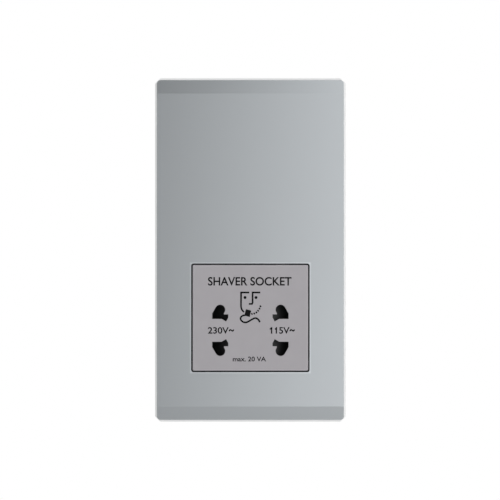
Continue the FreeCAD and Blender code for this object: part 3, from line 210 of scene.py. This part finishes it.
# Inner and rear metals: rolled, drawn, cut or plated, each with its own fine lines or clouds.
# Rolling and tool lines are drawn coarser than they are, so that they show.
zincSteel = {  # bluish white, with soft clouds from the bath
    "name": "steel_zinc_plated", "colour": "#C3C6C4", "metallic": 1.0, "roughness": 0.34,
    "grainMm": (3.0, 3.0, 3.0), "grainDepthMm": 0.002, "tone": 0.12,
}
blackZinc = {  # near black, with a faint glint of metal
    "name": "steel_black_zinc_plated", "colour": "#1B1B1D", "metallic": 1.0, "roughness": 0.45,
    "grainMm": (2.0, 2.0, 2.0), "grainDepthMm": 0.002, "tone": 0.15,
}
springSteel = {  # bright grey, with lines from the die along the wire
    "name": "spring_steel_drawn", "colour": "#9A9B9C", "metallic": 1.0, "roughness": 0.3,
    "grainMm": (0.3, 0.05, 0.05), "grainDepthMm": 0.002, "tone": 0.1,
}
rolledBronze = {  # warm brown gold, lined by the rolls
    "name": "phosphor_bronze_rolled", "colour": "#C08E58", "metallic": 1.0, "roughness": 0.32,
    "grainMm": (0.15, 4.0, 4.0), "grainDepthMm": 0.002, "tone": 0.1,
}
machinedBrass = {  # yellow, with the cutter's lines across it
    "name": "brass_machined", "colour": "#C9A24F", "metallic": 1.0, "roughness": 0.28,
    "grainMm": (5.0, 0.12, 5.0), "grainDepthMm": 0.003, "tone": 0.12,
}
enamelledCopper = {  # red brown under clear enamel, turn beside turn
    "name": "copper_wire_enamelled", "colour": "#9C4A22", "metallic": 1.0, "roughness": 0.3,
    "grainMm": (14.0, 14.0, 0.6), "grainDepthMm": 0.008, "tone": 0.22,
}
laminatedSteel = {  # dull blue grey, its tone changing from sheet to sheet
    "name": "silicon_steel_laminated", "colour": "#5A5C60", "metallic": 1.0, "roughness": 0.5,
    "grainMm": (20.0, 0.5, 20.0), "grainDepthMm": 0.004, "tone": 0.3,
}


def makeMetal(look):
    material, tree, shader, where = newMaterial(look)
    stretched = addNode(tree, "ShaderNodeMapping", None, {
        "Vector": where, "Scale": [perMetre(size) for size in look["grainMm"]]})
    grain = addNode(tree, "ShaderNodeTexNoise", None, {
        "Vector": stretched.outputs["Vector"], "Scale": 1.0, "Detail": 2.0})
    tone = addNode(tree, "ShaderNodeMapRange", None, {
        **noiseSpan, "Value": grain.outputs["Fac"],
        "To Min": 1 - look["tone"], "To Max": 1 + look["tone"]})
    addNode(tree, "ShaderNodeMix", multiply, {
        "Factor": 1.0, colourIn: linearColour(look["colour"]), gainIn: tone.outputs["Result"]},
        {colourOut: shader.inputs["Base Color"]})
    addNode(tree, "ShaderNodeBump", None, {
        "Height": grain.outputs["Fac"], "Strength": 1.0,
        "Distance": look["grainDepthMm"] * mm}, {"Normal": shader.inputs["Normal"]})
    return material


# Leads: PVC drawn over stranded wire. Waxy and even, with a faint ripple from the strands beneath.
pvcSleeve = {
    "roughness": 0.36, "ior": 1.54, "pitMm": 0.7, "pitDepthMm": 0.01, "mottle": 0.04, "mottleMm": 3.0,
}
sleeveColours = {
    "brown": "#5A3826", "blue": "#2C5C9E", "green": "#4E8F36", "red": "#9E2A24", "black": "#1C1C1D",
}

ink = makePlastic(screenInk)
whiteInk = makePlastic(padInk)
slotFinish = {
    "satin_metal": makeBlastedAluminium(blastedAluminium),
    "pale_plastic": makePlastic(paleAbs),
    "grey_plastic": makePlastic(greyPolycarbonate),
    "black_plastic": makePlastic(blackNylon),
    "housing_plastic": makePlastic(darkPhenolic),
    "bobbin_plastic": makePlastic(naturalNylon),
    "zinc_steel": makeMetal(zincSteel),
    "spring_steel": makeMetal(springSteel),
    "bronze": makeMetal(rolledBronze),
    "brass": makeMetal(machinedBrass),
    "copper": makeMetal(enamelledCopper),
    "core_steel": makeMetal(laminatedSteel),
    "black_steel": makeMetal(blackZinc),
}
for shade, colour in sleeveColours.items():
    slotFinish[shade + "_pvc"] = makePlastic(
        {**pvcSleeve, "name": "pvc_drawn_" + shade, "colour": colour})
for part in frame["record"]["subparts"]:
    piece = nodes[part["node"]]
    piece.data.materials.clear()
    piece.data.materials.append(slotFinish[part["material_slot"]])
print("finishes given to", len(nodes), "nodes")

# Edges eased a little, as moulds and punches leave them, so that they catch the light
easing = {
    "weldMm": 0.001, "flatDegrees": 0.5, "fromDegrees": 40, "segments": 2,
    "widthsMm": {  # for each node whose name starts like this
        "front_frame": 0.2, "rear_housing": 0.35, "housing_cover": 0.2, "mounting_plate": 0.12,
        "bobbin": 0.15, "thermal_cutout": 0.4, "terminal_line": 0.2, "terminal_earth": 0.2,
        "terminal_neutral": 0.2, "contact_": 0.1, "switch_": 0.1, "lead_": 0.22,
    },
}


def easeEdges(piece, widthMm):
    weld = piece.modifiers.new("weld", "WELD")
    weld.merge_threshold = easing["weldMm"] * mm
    flat = piece.modifiers.new("flat_faces", "DECIMATE")
    flat.decimate_type = "DISSOLVE"
    flat.angle_limit = math.radians(easing["flatDegrees"])
    ease = piece.modifiers.new("eased_edges", "BEVEL")
    ease.width = widthMm * mm
    ease.segments = easing["segments"]
    ease.limit_method = "ANGLE"
    ease.angle_limit = math.radians(easing["fromDegrees"])
    ease.use_clamp_overlap = False
    ease.harden_normals = True


for start, widthMm in easing["widthsMm"].items():
    for node in nodes:
        if node.startswith(start):
            easeEdges(nodes[node], widthMm)
print("edges eased")


def meshOf(name, curve):  # what a curve or text looks like as a mesh
    obj = bpy.data.objects.new(name, curve)
    collection.objects.link(obj)
    bpy.context.view_layer.update()
    graph = bpy.context.evaluated_depsgraph_get()
    mesh = bpy.data.meshes.new_from_object(obj.evaluated_get(graph))
    bpy.data.objects.remove(obj)
    return mesh


def newPiece(name, mesh):
    piece = bpy.data.objects.new(name, mesh)
    collection.objects.link(piece)
    return piece


def closedPiece(name, bm):
    bm.normal_update()
    bmesh.ops.recalc_face_normals(bm, faces=bm.faces)
    mesh = bpy.data.meshes.new(name)
    bm.to_mesh(mesh)
    bm.free()
    return newPiece(name, mesh)


def standFor(piece, node, slot):
    piece.data.materials.append(slotFinish[slot])
    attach(piece, "base")
    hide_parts(node)


def joinRows(bm, rows):  # rows are closed loops with the same number of corners
    for low, high in zip(rows, rows[1:]):
        for n in range(len(low)):
            m = (n + 1) % len(low)
            bm.faces.new((low[n], low[m], high[m], high[n]))


# The photo's scale, so that printing and sign can be placed by its pixels
photo = {"pixelsPerMm": 2.174, "middleAcross": 250.4, "middleDown": 250.0}
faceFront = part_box("socket_insert")[0].y

# Words and numbers on the insert: left, right, top and bottom of each in the photo's pixels
printing = {
    "filmMm": 0.01, "weight": 0.018, "roundness": 6, "weldMm": 0.009, "leastMitre": 0.5,
    "lines": [
        ("legend", "SHAVER SOCKET", 208.0, 291.5, 277.0, 285.6),
        ("voltage_left", "230V", 207.9, 228.7, 327.1, 333.7),
        ("voltage_right", "115V", 271.0, 289.5, 327.1, 333.7),
        ("rating", "max. 20 VA", 232.8, 266.0, 356.6, 361.4),
    ],
    # flags of the ones, which the typeface draws as plain bars, and the waves after the volts
    "flags": [[(269.9, 329.4), (271.7, 327.6)], [(275.0, 329.4), (276.8, 327.6)]],
    "flagWide": 1.3,
    "wave": [(0.0, 1.0), (1.1, -0.4), (2.4, 0.15), (3.6, 0.7), (4.7, -0.7)],
    "waveWide": 1.3, "waveStarts": [(229.1, 330.2), (289.8, 330.2)], "waveSteps": 6,
}


def onFace(across, down):
    scale = mm / photo["pixelsPerMm"]
    return Vector(((across - photo["middleAcross"]) * scale, faceFront,
                   (photo["middleDown"] - down) * scale))


def printFilm(name, bm, colour, way):  # way is -1 on the front and 1 on the rear
    # welded first, because the added weight folds the narrowest corners of small letters
    bmesh.ops.remove_doubles(bm, verts=bm.verts, dist=printing["weldMm"] * mm)
    grown = bmesh.ops.extrude_face_region(bm, geom=bm.faces[:])
    raised = [item for item in grown["geom"] if isinstance(item, bmesh.types.BMVert)]
    bmesh.ops.translate(bm, vec=(0, way * printing["filmMm"] * mm, 0), verts=raised)
    piece = closedPiece(name, bm)
    piece.data.materials.append(colour)
    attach(piece, "base")


def printWords(name, words, colour, way, place):  # place is told each corner and the words' size
    text = bpy.data.curves.new(name, "FONT")
    text.body = words
    text.offset = printing["weight"]
    text.resolution_u = printing["roundness"]
    bm = bmesh.new()
    bm.from_mesh(meshOf(name, text))
    low, high = [Vector([pick(vertex.co[axis] for vertex in bm.verts) for axis in (0, 1)])
                 for pick in (min, max)]
    for vertex in bm.verts:
        vertex.co = place(vertex.co.xy - low, high - low)
    printFilm(name, bm, colour, way)


def printLine(name, words, left, right, top, bottom):
    def place(at, size):
        return onFace(left + at.x / size.x * (right - left), bottom + at.y / size.y * (top - bottom))

    printWords(name, words, ink, -1, place)


def ribbon(bm, points, width, place):
    sides = []
    for n, point in enumerate(points):
        ahead = Vector(points[min(n + 1, len(points) - 1)]) - Vector(point)
        behind = Vector(point) - Vector(points[max(n - 1, 0)])
        run = (ahead.normalized() + behind.normalized()).normalized()
        lean = run.dot((ahead if ahead.length else behind).normalized())
        across = Vector((-run.y, run.x)) * width / 2 / max(lean, printing["leastMitre"])
        sides.append([bm.verts.new(place(*(Vector(point) + across * way))) for way in (-1, 1)])
    for (a, b), (c, d) in zip(sides, sides[1:]):
        bm.faces.new((a, c, d, b))


def smoothLine(points, steps):
    curve = bpy.data.curves.new("smooth_line", "CURVE")
    spline = curve.splines.new("BEZIER")
    spline.bezier_points.add(len(points) - 1)
    for bend, point in zip(spline.bezier_points, points):
        bend.co = (*point, 0)
        bend.handle_left_type = "AUTO"
        bend.handle_right_type = "AUTO"
    spline.resolution_u = steps
    return [vertex.co.xy for vertex in meshOf("smooth_line", curve).vertices]


def drawVoltageStrokes():
    bm = bmesh.new()
    for flag in printing["flags"]:
        ribbon(bm, flag, printing["flagWide"], onFace)
    for start in printing["waveStarts"]:
        wave = smoothLine([Vector(start) + Vector(point) for point in printing["wave"]],
                          printing["waveSteps"])
        ribbon(bm, wave, printing["waveWide"], onFace)
    printFilm("voltage_strokes", bm, ink, -1)


for line in printing["lines"]:
    printLine(*line)
drawVoltageStrokes()

# Shaver sign: strokes, dots and dashes in the photo's pixels
sign = {
    "stroke": 1.7, "stepsPerBend": 6, "dotRadius": 1.5, "dotSides": 20,
    "strokes": [
        [(249.3, 292.5), (241.1, 292.5), (241.0, 305.6), (241.2, 307.8), (241.9, 309.7),
         (242.9, 311.0), (244.0, 312.0)],
        [(260.3, 292.5), (252.6, 292.5), (252.6, 302.6), (252.0, 303.9), (248.8, 303.9)],
    ],
    "lead": [(245.4, 315.2), (242.6, 315.7), (240.6, 318.1), (241.9, 321.1), (245.6, 322.4),
             (248.7, 321.3), (252.0, 319.4), (255.6, 318.1), (258.1, 319.4), (259.9, 322.2)],
    "dots": [(245.0, 297.5), (256.0, 297.5)],
    "head": [(245.9, 309.2), (250.3, 310.2), (251.2, 311.0), (250.3, 314.0), (250.0, 316.8),
             (249.2, 316.9), (244.8, 315.6), (244.6, 314.7), (245.1, 312.2)],
    "stubble": [(251.9, 313.9), (254.3, 313.5), (256.4, 312.4), (258.1, 310.7), (259.5, 308.6),
                (260.4, 306.3)],
    "stubbleLong": 1.9, "stubbleWide": 1.5, "stubbleLean": (0.62, 0.78),
}


def drawSign():
    bm = bmesh.new()
    for stroke in sign["strokes"]:
        ribbon(bm, stroke, sign["stroke"], onFace)
    ribbon(bm, smoothLine(sign["lead"], sign["stepsPerBend"]), sign["stroke"], onFace)
    radius, sides = sign["dotRadius"], sign["dotSides"]
    turns = [2 * math.pi * n / sides for n in range(sides)]
    for across, down in sign["dots"]:
        bm.faces.new([bm.verts.new(onFace(across + radius * math.cos(turn),
                                          down + radius * math.sin(turn))) for turn in turns])
    bm.faces.new([bm.verts.new(onFace(*corner)) for corner in sign["head"]])
    half = Vector(sign["stubbleLean"]).normalized() * sign["stubbleLong"] / 2
    for hair in sign["stubble"]:
        ribbon(bm, [Vector(hair) - half, Vector(hair) + half], sign["stubbleWide"], onFace)
    printFilm("shaver_sign", bm, ink, -1)


drawSign()
print("printing laid on the insert")

# Terminal marks on the rear of the housing, over each terminal: a letter, bars for earth, a letter
terminalMarks = {  # in mm
    "level": -30.0, "tall": 5.0, "letters": {"line": "L", "neutral": "N"}, "stroke": 0.7,
    "earth": [[(0, 2.5), (0, -0.2)], [(-2.2, -0.2), (2.2, -0.2)], [(-1.4, -1.35), (1.4, -1.35)],
              [(-0.6, -2.5), (0.6, -2.5)]],
}
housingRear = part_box("rear_housing")[1].y


def onRear(across, up):  # read from behind, so that across runs towards -X
    return Vector((-across * mm, housingRear, (terminalMarks["level"] + up) * mm))


def markLetter(end, letter):
    low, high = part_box("terminal_" + end)
    middle = -(low.x + high.x) / 2 / mm

    def place(at, size):
        scale = terminalMarks["tall"] / size.y
        return onRear(middle + (at.x - size.x / 2) * scale, (at.y - size.y / 2) * scale)

    printWords("mark_" + end, letter, whiteInk, 1, place)


def markEarth():
    bm = bmesh.new()
    for bar in terminalMarks["earth"]:
        ribbon(bm, bar, terminalMarks["stroke"], onRear)
    printFilm("mark_earth", bm, whiteInk, 1)


for end, letter in terminalMarks["letters"].items():
    markLetter(end, letter)
markEarth()
print("terminals marked")

# Centring springs: round wire with closed ends, from the carrier's posts to the slide.
centringSpring = {
    "radiusMm": 1.6, "wireMm": 0.4, "turns": 5, "closedPitchMm": 0.45, "seatMm": 3.5,
    "stepsPerTurn": 28, "wireRoundness": 3, "blendPastMm": 1.0,
}


def makeSpring(name, side):
    look = centringSpring
    low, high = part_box("shutter_spring")
    middle = (low + high) / 2
    radius = look["radiusMm"] * mm
    start = look["seatMm"] + look["wireMm"] / 2
    end = high.x / mm - look["wireMm"] / 2
    closed = look["closedPitchMm"]
    curve = bpy.data.curves.new(name, "CURVE")
    curve.dimensions = "3D"
    curve.bevel_depth = look["wireMm"] * mm / 2
    curve.bevel_resolution = look["wireRoundness"]
    curve.use_fill_caps = True
    spline = curve.splines.new("POLY")
    spline.points.add(look["turns"] * look["stepsPerTurn"])
    for n, point in enumerate(spline.points):
        turn = n / look["stepsPerTurn"]
        wound = (end - start - 2 * closed) * min(max(turn - 1, 0) / (look["turns"] - 2), 1)
        along = start + closed * (min(turn, 1) + max(turn - look["turns"] + 1, 0)) + wound
        point.co = (side * along * mm, middle.y + radius * math.cos(2 * math.pi * turn),
                    middle.z + radius * math.sin(2 * math.pi * turn), 1)
    piece = newPiece(name, meshOf(name, curve))
    piece.data.shade_smooth()
    piece.data.materials.clear()
    piece.data.materials.append(slotFinish["spring_steel"])
    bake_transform(piece)
    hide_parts("shutter_spring")


makeSpring("spring_left", -1)
makeSpring("spring_right", 1)
print("springs wound")

# Terminal screws: slotted grub screws, the slot turned a little differently on each
grubScrew = {
    "slotMm": 0.9, "slotDepthMm": 0.9, "chamferMm": 0.25, "halfSteps": 20, "slotEndSteps": 4,
    "degrees": {"line": 24, "earth": -38, "neutral": 63}, "threadPitchMm": 0.7,
    "threadDepthMm": 0.12,
}


def spread(first, last, steps):  # stops a step short of the last
    return [first + (last - first) * n / steps for n in range(steps)]


def turnedRow(bm, depth, reach, turns):
    return [bm.verts.new((reach * math.cos(turn), depth, reach * math.sin(turn))) for turn in turns]


def slotTurn(reach):  # from the slot's middle line to its edge, at this distance
    return math.asin(grubScrew["slotMm"] * mm / 2 / reach)


def makeGrubScrew(name, middle, radius, front, rear, degrees):
    look = grubScrew
    bm = bmesh.new()
    floor = rear - look["slotDepthMm"] * mm
    chamfer = look["chamferMm"] * mm
    ends, halves = look["slotEndSteps"], look["halfSteps"]
    edge = slotTurn(radius)
    wholeTurn = []
    for half in (0, math.pi):
        wholeTurn += spread(half - edge, half + edge, ends)
        wholeTurn += spread(half + edge, half + math.pi - edge, halves)
    steps = 2 * int((floor - front) / (look["threadPitchMm"] * mm))
    rings = [turnedRow(bm, front + (floor - front) * n / steps,
                       radius - look["threadDepthMm"] * mm * (n % 2), wholeTurn)
             for n in range(steps + 1)]
    joinRows(bm, rings)
    bm.faces.new(rings[0])
    last = rings[-1]
    across = ends + halves
    bm.faces.new(last[:ends + 1] + last[across:across + ends + 1])  # the slot's floor
    for half in (0, 1):
        rows = [[last[(half * across + ends + n) % len(last)] for n in range(halves + 1)]]
        for depth, reach in ((rear - chamfer, radius), (rear, radius - chamfer)):
            first = half * math.pi + slotTurn(reach)
            end = (half + 1) * math.pi - slotTurn(reach)
            rows.append(turnedRow(bm, depth, reach, spread(first, end, halves) + [end]))
        joinRows(bm, rows)
        bm.faces.new(rows[-1])
    piece = closedPiece(name, bm)
    piece.rotation_euler = (0, math.radians(degrees), 0)
    piece.location = (middle.x, 0, middle.z)
    standFor(piece, "terminal_screws", "zinc_steel")


screwLow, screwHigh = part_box("terminal_screws")
screwRadius = (screwHigh.z - screwLow.z) / 2
for end, degrees in grubScrew["degrees"].items():
    low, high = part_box("terminal_" + end)
    makeGrubScrew("grub_screw_" + end, (low + high) / 2, screwRadius, screwLow.y, screwHigh.y,
                  degrees)
print("terminal screws slotted")

# Windings: enamelled wire laid turn beside turn. The wire is 0.3 mm, drawn twice as thick so that
# the turns show.
woundWire = {
    "wireMm": 0.6, "cornerMm": 4.3, "innerCornerMm": 0.02, "stepsPerCorner": 6,
    "roundOfWire": (-72, -36, 0, 36, 72), "sharpFrom": 50,  # degrees
}


def roundedLoop(bm, middle, halves, corner, height):
    loop = []
    steps = woundWire["stepsPerCorner"]
    for quarter, (sideways, deep) in enumerate(((1, 1), (-1, 1), (-1, -1), (1, -1))):
        for n in range(steps + 1):
            turn = math.pi / 2 * (quarter + n / steps)
            loop.append(bm.verts.new((
                middle.x + sideways * (halves[0] - corner) + corner * math.cos(turn),
                middle.y + deep * (halves[1] - corner) + corner * math.sin(turn), height)))
    return loop


def windTurns(name, node):
    look = woundWire
    low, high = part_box(node)
    middle = (low + high) / 2
    inner = [min(abs(vertex.co[axis] - middle[axis]) for vertex in nodes[node].data.vertices)
             for axis in (0, 1)]
    outer = [(high - low)[axis] / 2 for axis in (0, 1)]
    turns = round((high.z - low.z) / (look["wireMm"] * mm))
    pitch = (high.z - low.z) / turns
    bm = bmesh.new()
    loops = [roundedLoop(bm, middle, inner, look["innerCornerMm"] * mm, low.z)]
    for n in range(turns):
        for degrees in look["roundOfWire"]:
            swing = math.radians(degrees)
            sunk = pitch / 2 * (1 - math.cos(swing))
            loops.append(roundedLoop(bm, middle, [half - sunk for half in outer],
                                     look["cornerMm"] * mm - sunk,
                                     low.z + pitch * (n + 0.5 + math.sin(swing) / 2)))
    loops.append(roundedLoop(bm, middle, inner, look["innerCornerMm"] * mm, high.z))
    joinRows(bm, loops + loops[:1])
    piece = closedPiece(name, bm)
    piece.data.shade_smooth()
    piece.data.set_sharp_from_angle(angle=math.radians(look["sharpFrom"]))
    standFor(piece, node, "copper")


windTurns("turns_primary", "primary_winding")
windTurns("turns_secondary", "secondary_winding")

# Core: stamped sheets, an E closed by an I, with a fine line of varnish between the sheets.
# A leg is a sixth of the core's width, and the middle one two sixths.
coreSheets = {
    "sheetMm": 0.5, "varnishMm": 0.05, "legsAcross": 6,
    "e": [(0, "foot"), (0, "top"), (6, "top"), (6, "foot"), (5, "foot"), (5, "yoke"), (4, "yoke"),
          (4, "foot"), (2, "foot"), (2, "yoke"), (1, "yoke"), (1, "foot")],
    "i": [(0, "foot"), (0, "top"), (6, "top"), (6, "foot")],
}


def stackSheets(name, node, corners):
    look = coreSheets
    low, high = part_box(node)
    leg = (high.x - low.x) / look["legsAcross"]
    heights = {"foot": low.z, "yoke": high.z - leg, "top": high.z}
    outline = [(low.x + leg * step, heights[height]) for step, height in corners]
    count = round((high.y - low.y) / (look["sheetMm"] * mm))
    thick = (high.y - low.y) / count
    bm = bmesh.new()
    for n in range(count):
        near = low.y + n * thick
        far = high.y if n == count - 1 else near + thick - look["varnishMm"] * mm
        front, rear = [[bm.verts.new((across, depth, up)) for across, up in outline]
                       for depth in (near, far)]
        bm.faces.new(front)
        bm.faces.new(rear)
        joinRows(bm, [front, rear])
    standFor(closedPiece(name, bm), node, "core_steel")


stackSheets("sheets_e", "core_e_stack", coreSheets["e"])
stackSheets("sheets_i", "core_i_stack", coreSheets["i"])
print("transformer wound and stacked")

# Camera: straight at the front, far off with a long lens
shot = {"viewMm": 230.0, "distance": 1.6, "sensor": 36.0, "imageMiddle": 250.0}
camera = bpy.data.objects.new("camera", bpy.data.cameras.new("camera"))
camera.data.sensor_width = shot["sensor"]
camera.data.lens = shot["sensor"] * shot["distance"] / (shot["viewMm"] * mm)
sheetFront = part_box("front_sheet")[0].y
aside = (shot["imageMiddle"] - photo["middleAcross"]) * mm / photo["pixelsPerMm"]
camera.location = (aside, sheetFront - shot["distance"], 0)
camera.rotation_euler = (math.radians(90), 0, 0)
collection.objects.link(camera)
bpy.context.scene.camera = camera

# Light: pale room, a soft box on the right at the part's own height, a weaker one on the left
lights = {
    "roomColour": "#FFFFFF", "roomStrength": 0.64, "seenStrength": 1.0,
    "boxes": [  # name, place, size, watts
        ("key", (1.84, -2.36, -0.21), 1.05, 27.0),
        ("fill", (-1.9, -2.37, 0.1), 1.9, 8.5),
    ],
}
# Graded cards before the sheet, which only its sheen sees. All but the lowest are dark on the left
# and bright on the right.
cards = {
    "distance": 0.45, "reach": 1.2,
    "rows": [  # name, bottom and top, left and right end of the grading, brightness at each
        ("card_low", -1.0, -0.24, -0.25, 0.25, 1.06, 0.0),
        ("card_under", -0.24, -0.06, -0.16, 0.18, 0.0, 2.68),
        ("card_middle", -0.06, 0.185, -0.19, 0.19, 0.0, 2.03),
        ("card_high", 0.185, 1.2, 0.018, 0.13, 0.0, 3.03),
    ],
}


def newBoard(name, corners):
    mesh = bpy.data.meshes.new(name)
    mesh.from_pydata(corners, [], [(0, 1, 2, 3)])
    board = newPiece(name, mesh)
    return board


def makeCard(name, low, high, left, right, leftLevel, rightLevel):
    depth, reach = sheetFront - cards["distance"], cards["reach"]
    board = newBoard(name, [(-reach, depth, low), (reach, depth, low), (reach, depth, high),
                            (-reach, depth, high)])
    material = bpy.data.materials.new(name)
    material.use_nodes = True
    tree = material.node_tree
    tree.nodes.clear()
    where = addNode(tree, "ShaderNodeTexCoord")
    across = addNode(tree, "ShaderNodeSeparateXYZ", None, {0: where.outputs["Object"]})
    level = addNode(tree, "ShaderNodeMapRange", None, {
        "Value": across.outputs["X"], "From Min": left, "From Max": right, "To Min": leftLevel,
        "To Max": rightLevel})
    glow = addNode(tree, "ShaderNodeEmission", None, {"Strength": level.outputs["Result"]})
    addNode(tree, "ShaderNodeOutputMaterial", None, {"Surface": glow.outputs[0]})
    board.data.materials.append(material)
    board.visible_camera = False
    board.visible_diffuse = False
    board.visible_shadow = False


for row in cards["rows"]:
    makeCard(*row)
for name, place, size, watts in lights["boxes"]:
    lamp = bpy.data.lights.new(name, "AREA")
    lamp.size = size
    lamp.energy = watts
    box = bpy.data.objects.new(name, lamp)
    box.location = place
    box.rotation_euler = (-box.location).to_track_quat("-Z", "Y").to_euler()  # towards the part
    box.visible_glossy = False
    collection.objects.link(box)


def seenRays(tree):  # 1 for rays that show the room to the eye, 0 for those that light the part
    path = addNode(tree, "ShaderNodeLightPath")
    seen = addNode(tree, "ShaderNodeMath", {"operation": "MAXIMUM"}, {
        0: path.outputs["Is Camera Ray"], 1: path.outputs["Is Glossy Ray"]})
    return addNode(tree, "ShaderNodeMath", {"operation": "MAXIMUM"}, {
        0: seen.outputs[0], 1: path.outputs["Is Transmission Ray"]}).outputs[0]


# Floor: matt pale paper with faint fibres, well below the part so that the front view stays clear
# of it. It is lifted towards white where it is seen, and keeps the shadow.
floorPaper = {
    "name": "paper_matt_pale", "colour": "#F2F2F1", "roughness": 0.9, "ior": 1.1, "fibreMm": 1.0,
    "fibreDepthMm": 0.01, "level": -0.6, "reach": 4.0, "lift": 0.34,
}


def layFloor(look):
    level, reach = look["level"], look["reach"]
    floor = newBoard("floor", [(-reach, -reach, level), (reach, -reach, level),
                               (reach, reach, level), (-reach, reach, level)])
    paper, tree, shader, where = newMaterial(look)
    fibres = addNode(tree, "ShaderNodeTexNoise", None, {
        "Vector": where, "Scale": perMetre(look["fibreMm"]), "Detail": 1.0})
    addNode(tree, "ShaderNodeBump", None, {
        "Height": fibres.outputs["Fac"], "Strength": 1.0, "Distance": look["fibreDepthMm"] * mm},
        {"Normal": shader.inputs["Normal"]})
    lift = addNode(tree, "ShaderNodeMath", {"operation": "MULTIPLY"}, {
        0: seenRays(tree), 1: look["lift"]})
    glow = addNode(tree, "ShaderNodeEmission", None, {"Strength": lift.outputs[0]})
    addNode(tree, "ShaderNodeAddShader", None, {0: shader.outputs[0], 1: glow.outputs[0]},
            {0: tree.nodes["Material Output"].inputs["Surface"]})
    floor.data.materials.append(paper)


def paintRoom(look):
    world = bpy.data.worlds.new("pale_room")
    bpy.context.scene.world = world
    world.use_nodes = True
    tree = world.node_tree
    tree.nodes.clear()
    strength = addNode(tree, "ShaderNodeMapRange", None, {
        "Value": seenRays(tree), "To Min": look["roomStrength"], "To Max": look["seenStrength"]})
    room = addNode(tree, "ShaderNodeBackground", None, {
        "Color": linearColour(look["roomColour"]), "Strength": strength.outputs["Result"]})
    addNode(tree, "ShaderNodeOutputWorld", None, {"Surface": room.outputs[0]})


layFloor(floorPaper)
paintRoom(lights)
bpy.context.scene.view_settings.view_transform = "Standard"
print("camera and light set")
